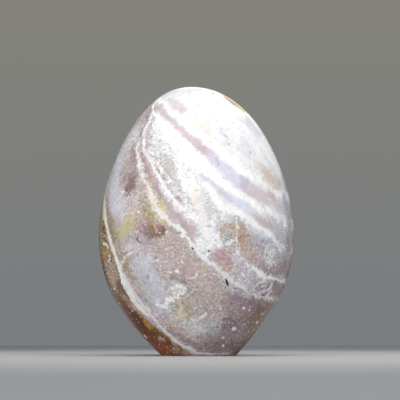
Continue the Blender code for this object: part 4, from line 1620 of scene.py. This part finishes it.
# %% Window, fills and edges
window = softbox("window", 0, 59, (-0.80, 0.77), (-0.80, 0.85), 2.45, (0.45, 0.03, 0.12, 0.10))
left_fill = softbox("left_fill", -58, 0, (-0.6, 0.6), (-0.35, 0.5), 1.25, (0.5, 0.5, 0.4, 0.6))
front_fill = softbox("front_fill", -14, -5, (-0.5, 0.5), (-0.4, 0.4), 0.78, (0.5, 0.5, 0.5, 0.5))
for lamp in (left_fill, front_fill):
    lamp.visible_glossy = False  # it only lifts the shaded side, and the stone mirrors the window instead
softbox("right_edge", 80, 50, (-0.4, 0.4), (-0.3, 0.3), 0.20, (0.5, 0.5, 0.5, 0.5))
softbox("back_panel", 165, 40, (-0.45, 0.45), (-0.3, 0.3), 0.35, (0.35, 0.35, 0.35, 0.35))
print("window, W:", round(window.data.energy, 1))

# %% [markdown]
# ## The room
#
# A polished stone shows its surroundings, so the room matters as much as the lamps. The camera sees a
# plain grey wall, a little warmer above than below. The stone itself is lit by an even grey, and mirrors
# a darker one, as if dark cards stood round it, because a grey shine would take the depth out of its
# brown parts.

# %% A grey room
world = bpy.data.worlds.new("room")
bpy.context.scene.world = world
world.use_nodes = True
room = world.node_tree
ambient = room.nodes["Background"]
EVEN_LIGHT = (0.24, 0.24, 0.24, 1)
ambient.inputs["Color"].default_value = EVEN_LIGHT
path = room.nodes.new("ShaderNodeLightPath")
DARK_CARDS = 0.35  # how much of the even light a reflection keeps
room.links.new(fade(path.outputs["Is Glossy Ray"], 0, 1, 1.0, DARK_CARDS), ambient.inputs["Strength"])
print("even light:", EVEN_LIGHT[0], "and in reflections:", round(EVEN_LIGHT[0] * DARK_CARDS, 3))

# %% The wall that the camera sees
WALL_LOW = (0.184, 0.202, 0.218, 1)
WALL_HIGH = (0.228, 0.224, 0.200, 1)
view_way = room.nodes.new("ShaderNodeTexCoord").outputs["Generated"]
rise = fed("ShaderNodeSeparateXYZ", ("Vector",), (view_way,)).outputs["Z"]
grey = blend(fade(rise, -0.05, 0.25, way="LINEAR"), WALL_LOW, WALL_HIGH)
wall = fed("ShaderNodeBackground", ("Color",), (grey,))
backgrounds = (path.outputs["Is Camera Ray"], ambient.outputs[0], wall.outputs[0])
seen = fed("ShaderNodeMixShader", range(3), backgrounds)
room.links.new(seen.outputs[0], room.nodes["World Output"].inputs["Surface"])
print("room nodes:", len(room.nodes))

# %% [markdown]
# ## The floor
#
# The stone stands on a sheet of pale matt paper. A pool of light round the stone is painted into its
# colour, which darkens away from the stone until it meets the wall. A plane with one colour would end in a
# hard line, and a bright one would shine up into the brown rim, so it is mid grey.

# %% A round sheet of paper
floor_shape = bmesh.new()
bmesh.ops.create_circle(floor_shape, cap_ends=True, radius=0.8, segments=96)
floor_mesh = bpy.data.meshes.new("floor")
floor_shape.to_mesh(floor_mesh)
floor_shape.free()
floor = bpy.data.objects.new("floor", floor_mesh)
bpy.context.scene.collection.objects.link(floor)
print("floor, m across:", round(floor.dimensions.x, 2))

# %% Matt paper, with a painted pool of light round the stone
# painted light: the paper is lighter near the stone, as a pool of light painted into its colour
PAPER_NEAR = (0.40, 0.40, 0.39, 1)
PAPER_FAR = (0.205, 0.218, 0.230, 1)
PAINTED_POOL_REACH = (0.10, 0.42)  # metres from the stone between which it darkens
paper = bpy.data.materials.new("pale_floor")
paper.use_nodes = True
sheet = paper.node_tree
matt_paper = sheet.nodes["Principled BSDF"]
spot = sheet.nodes.new("ShaderNodeTexCoord").outputs["Object"]
distance = fed("ShaderNodeVectorMath", (0,), (spot,))
distance.operation = "LENGTH"
painted_pool_grey = blend(fade(distance.outputs["Value"], *PAINTED_POOL_REACH), PAPER_NEAR, PAPER_FAR)
sheet.links.new(painted_pool_grey, matt_paper.inputs["Base Color"])
matt_paper.inputs["Roughness"].default_value = 0.9
floor_mesh.materials.append(paper)
print("paper nodes:", len(sheet.nodes))
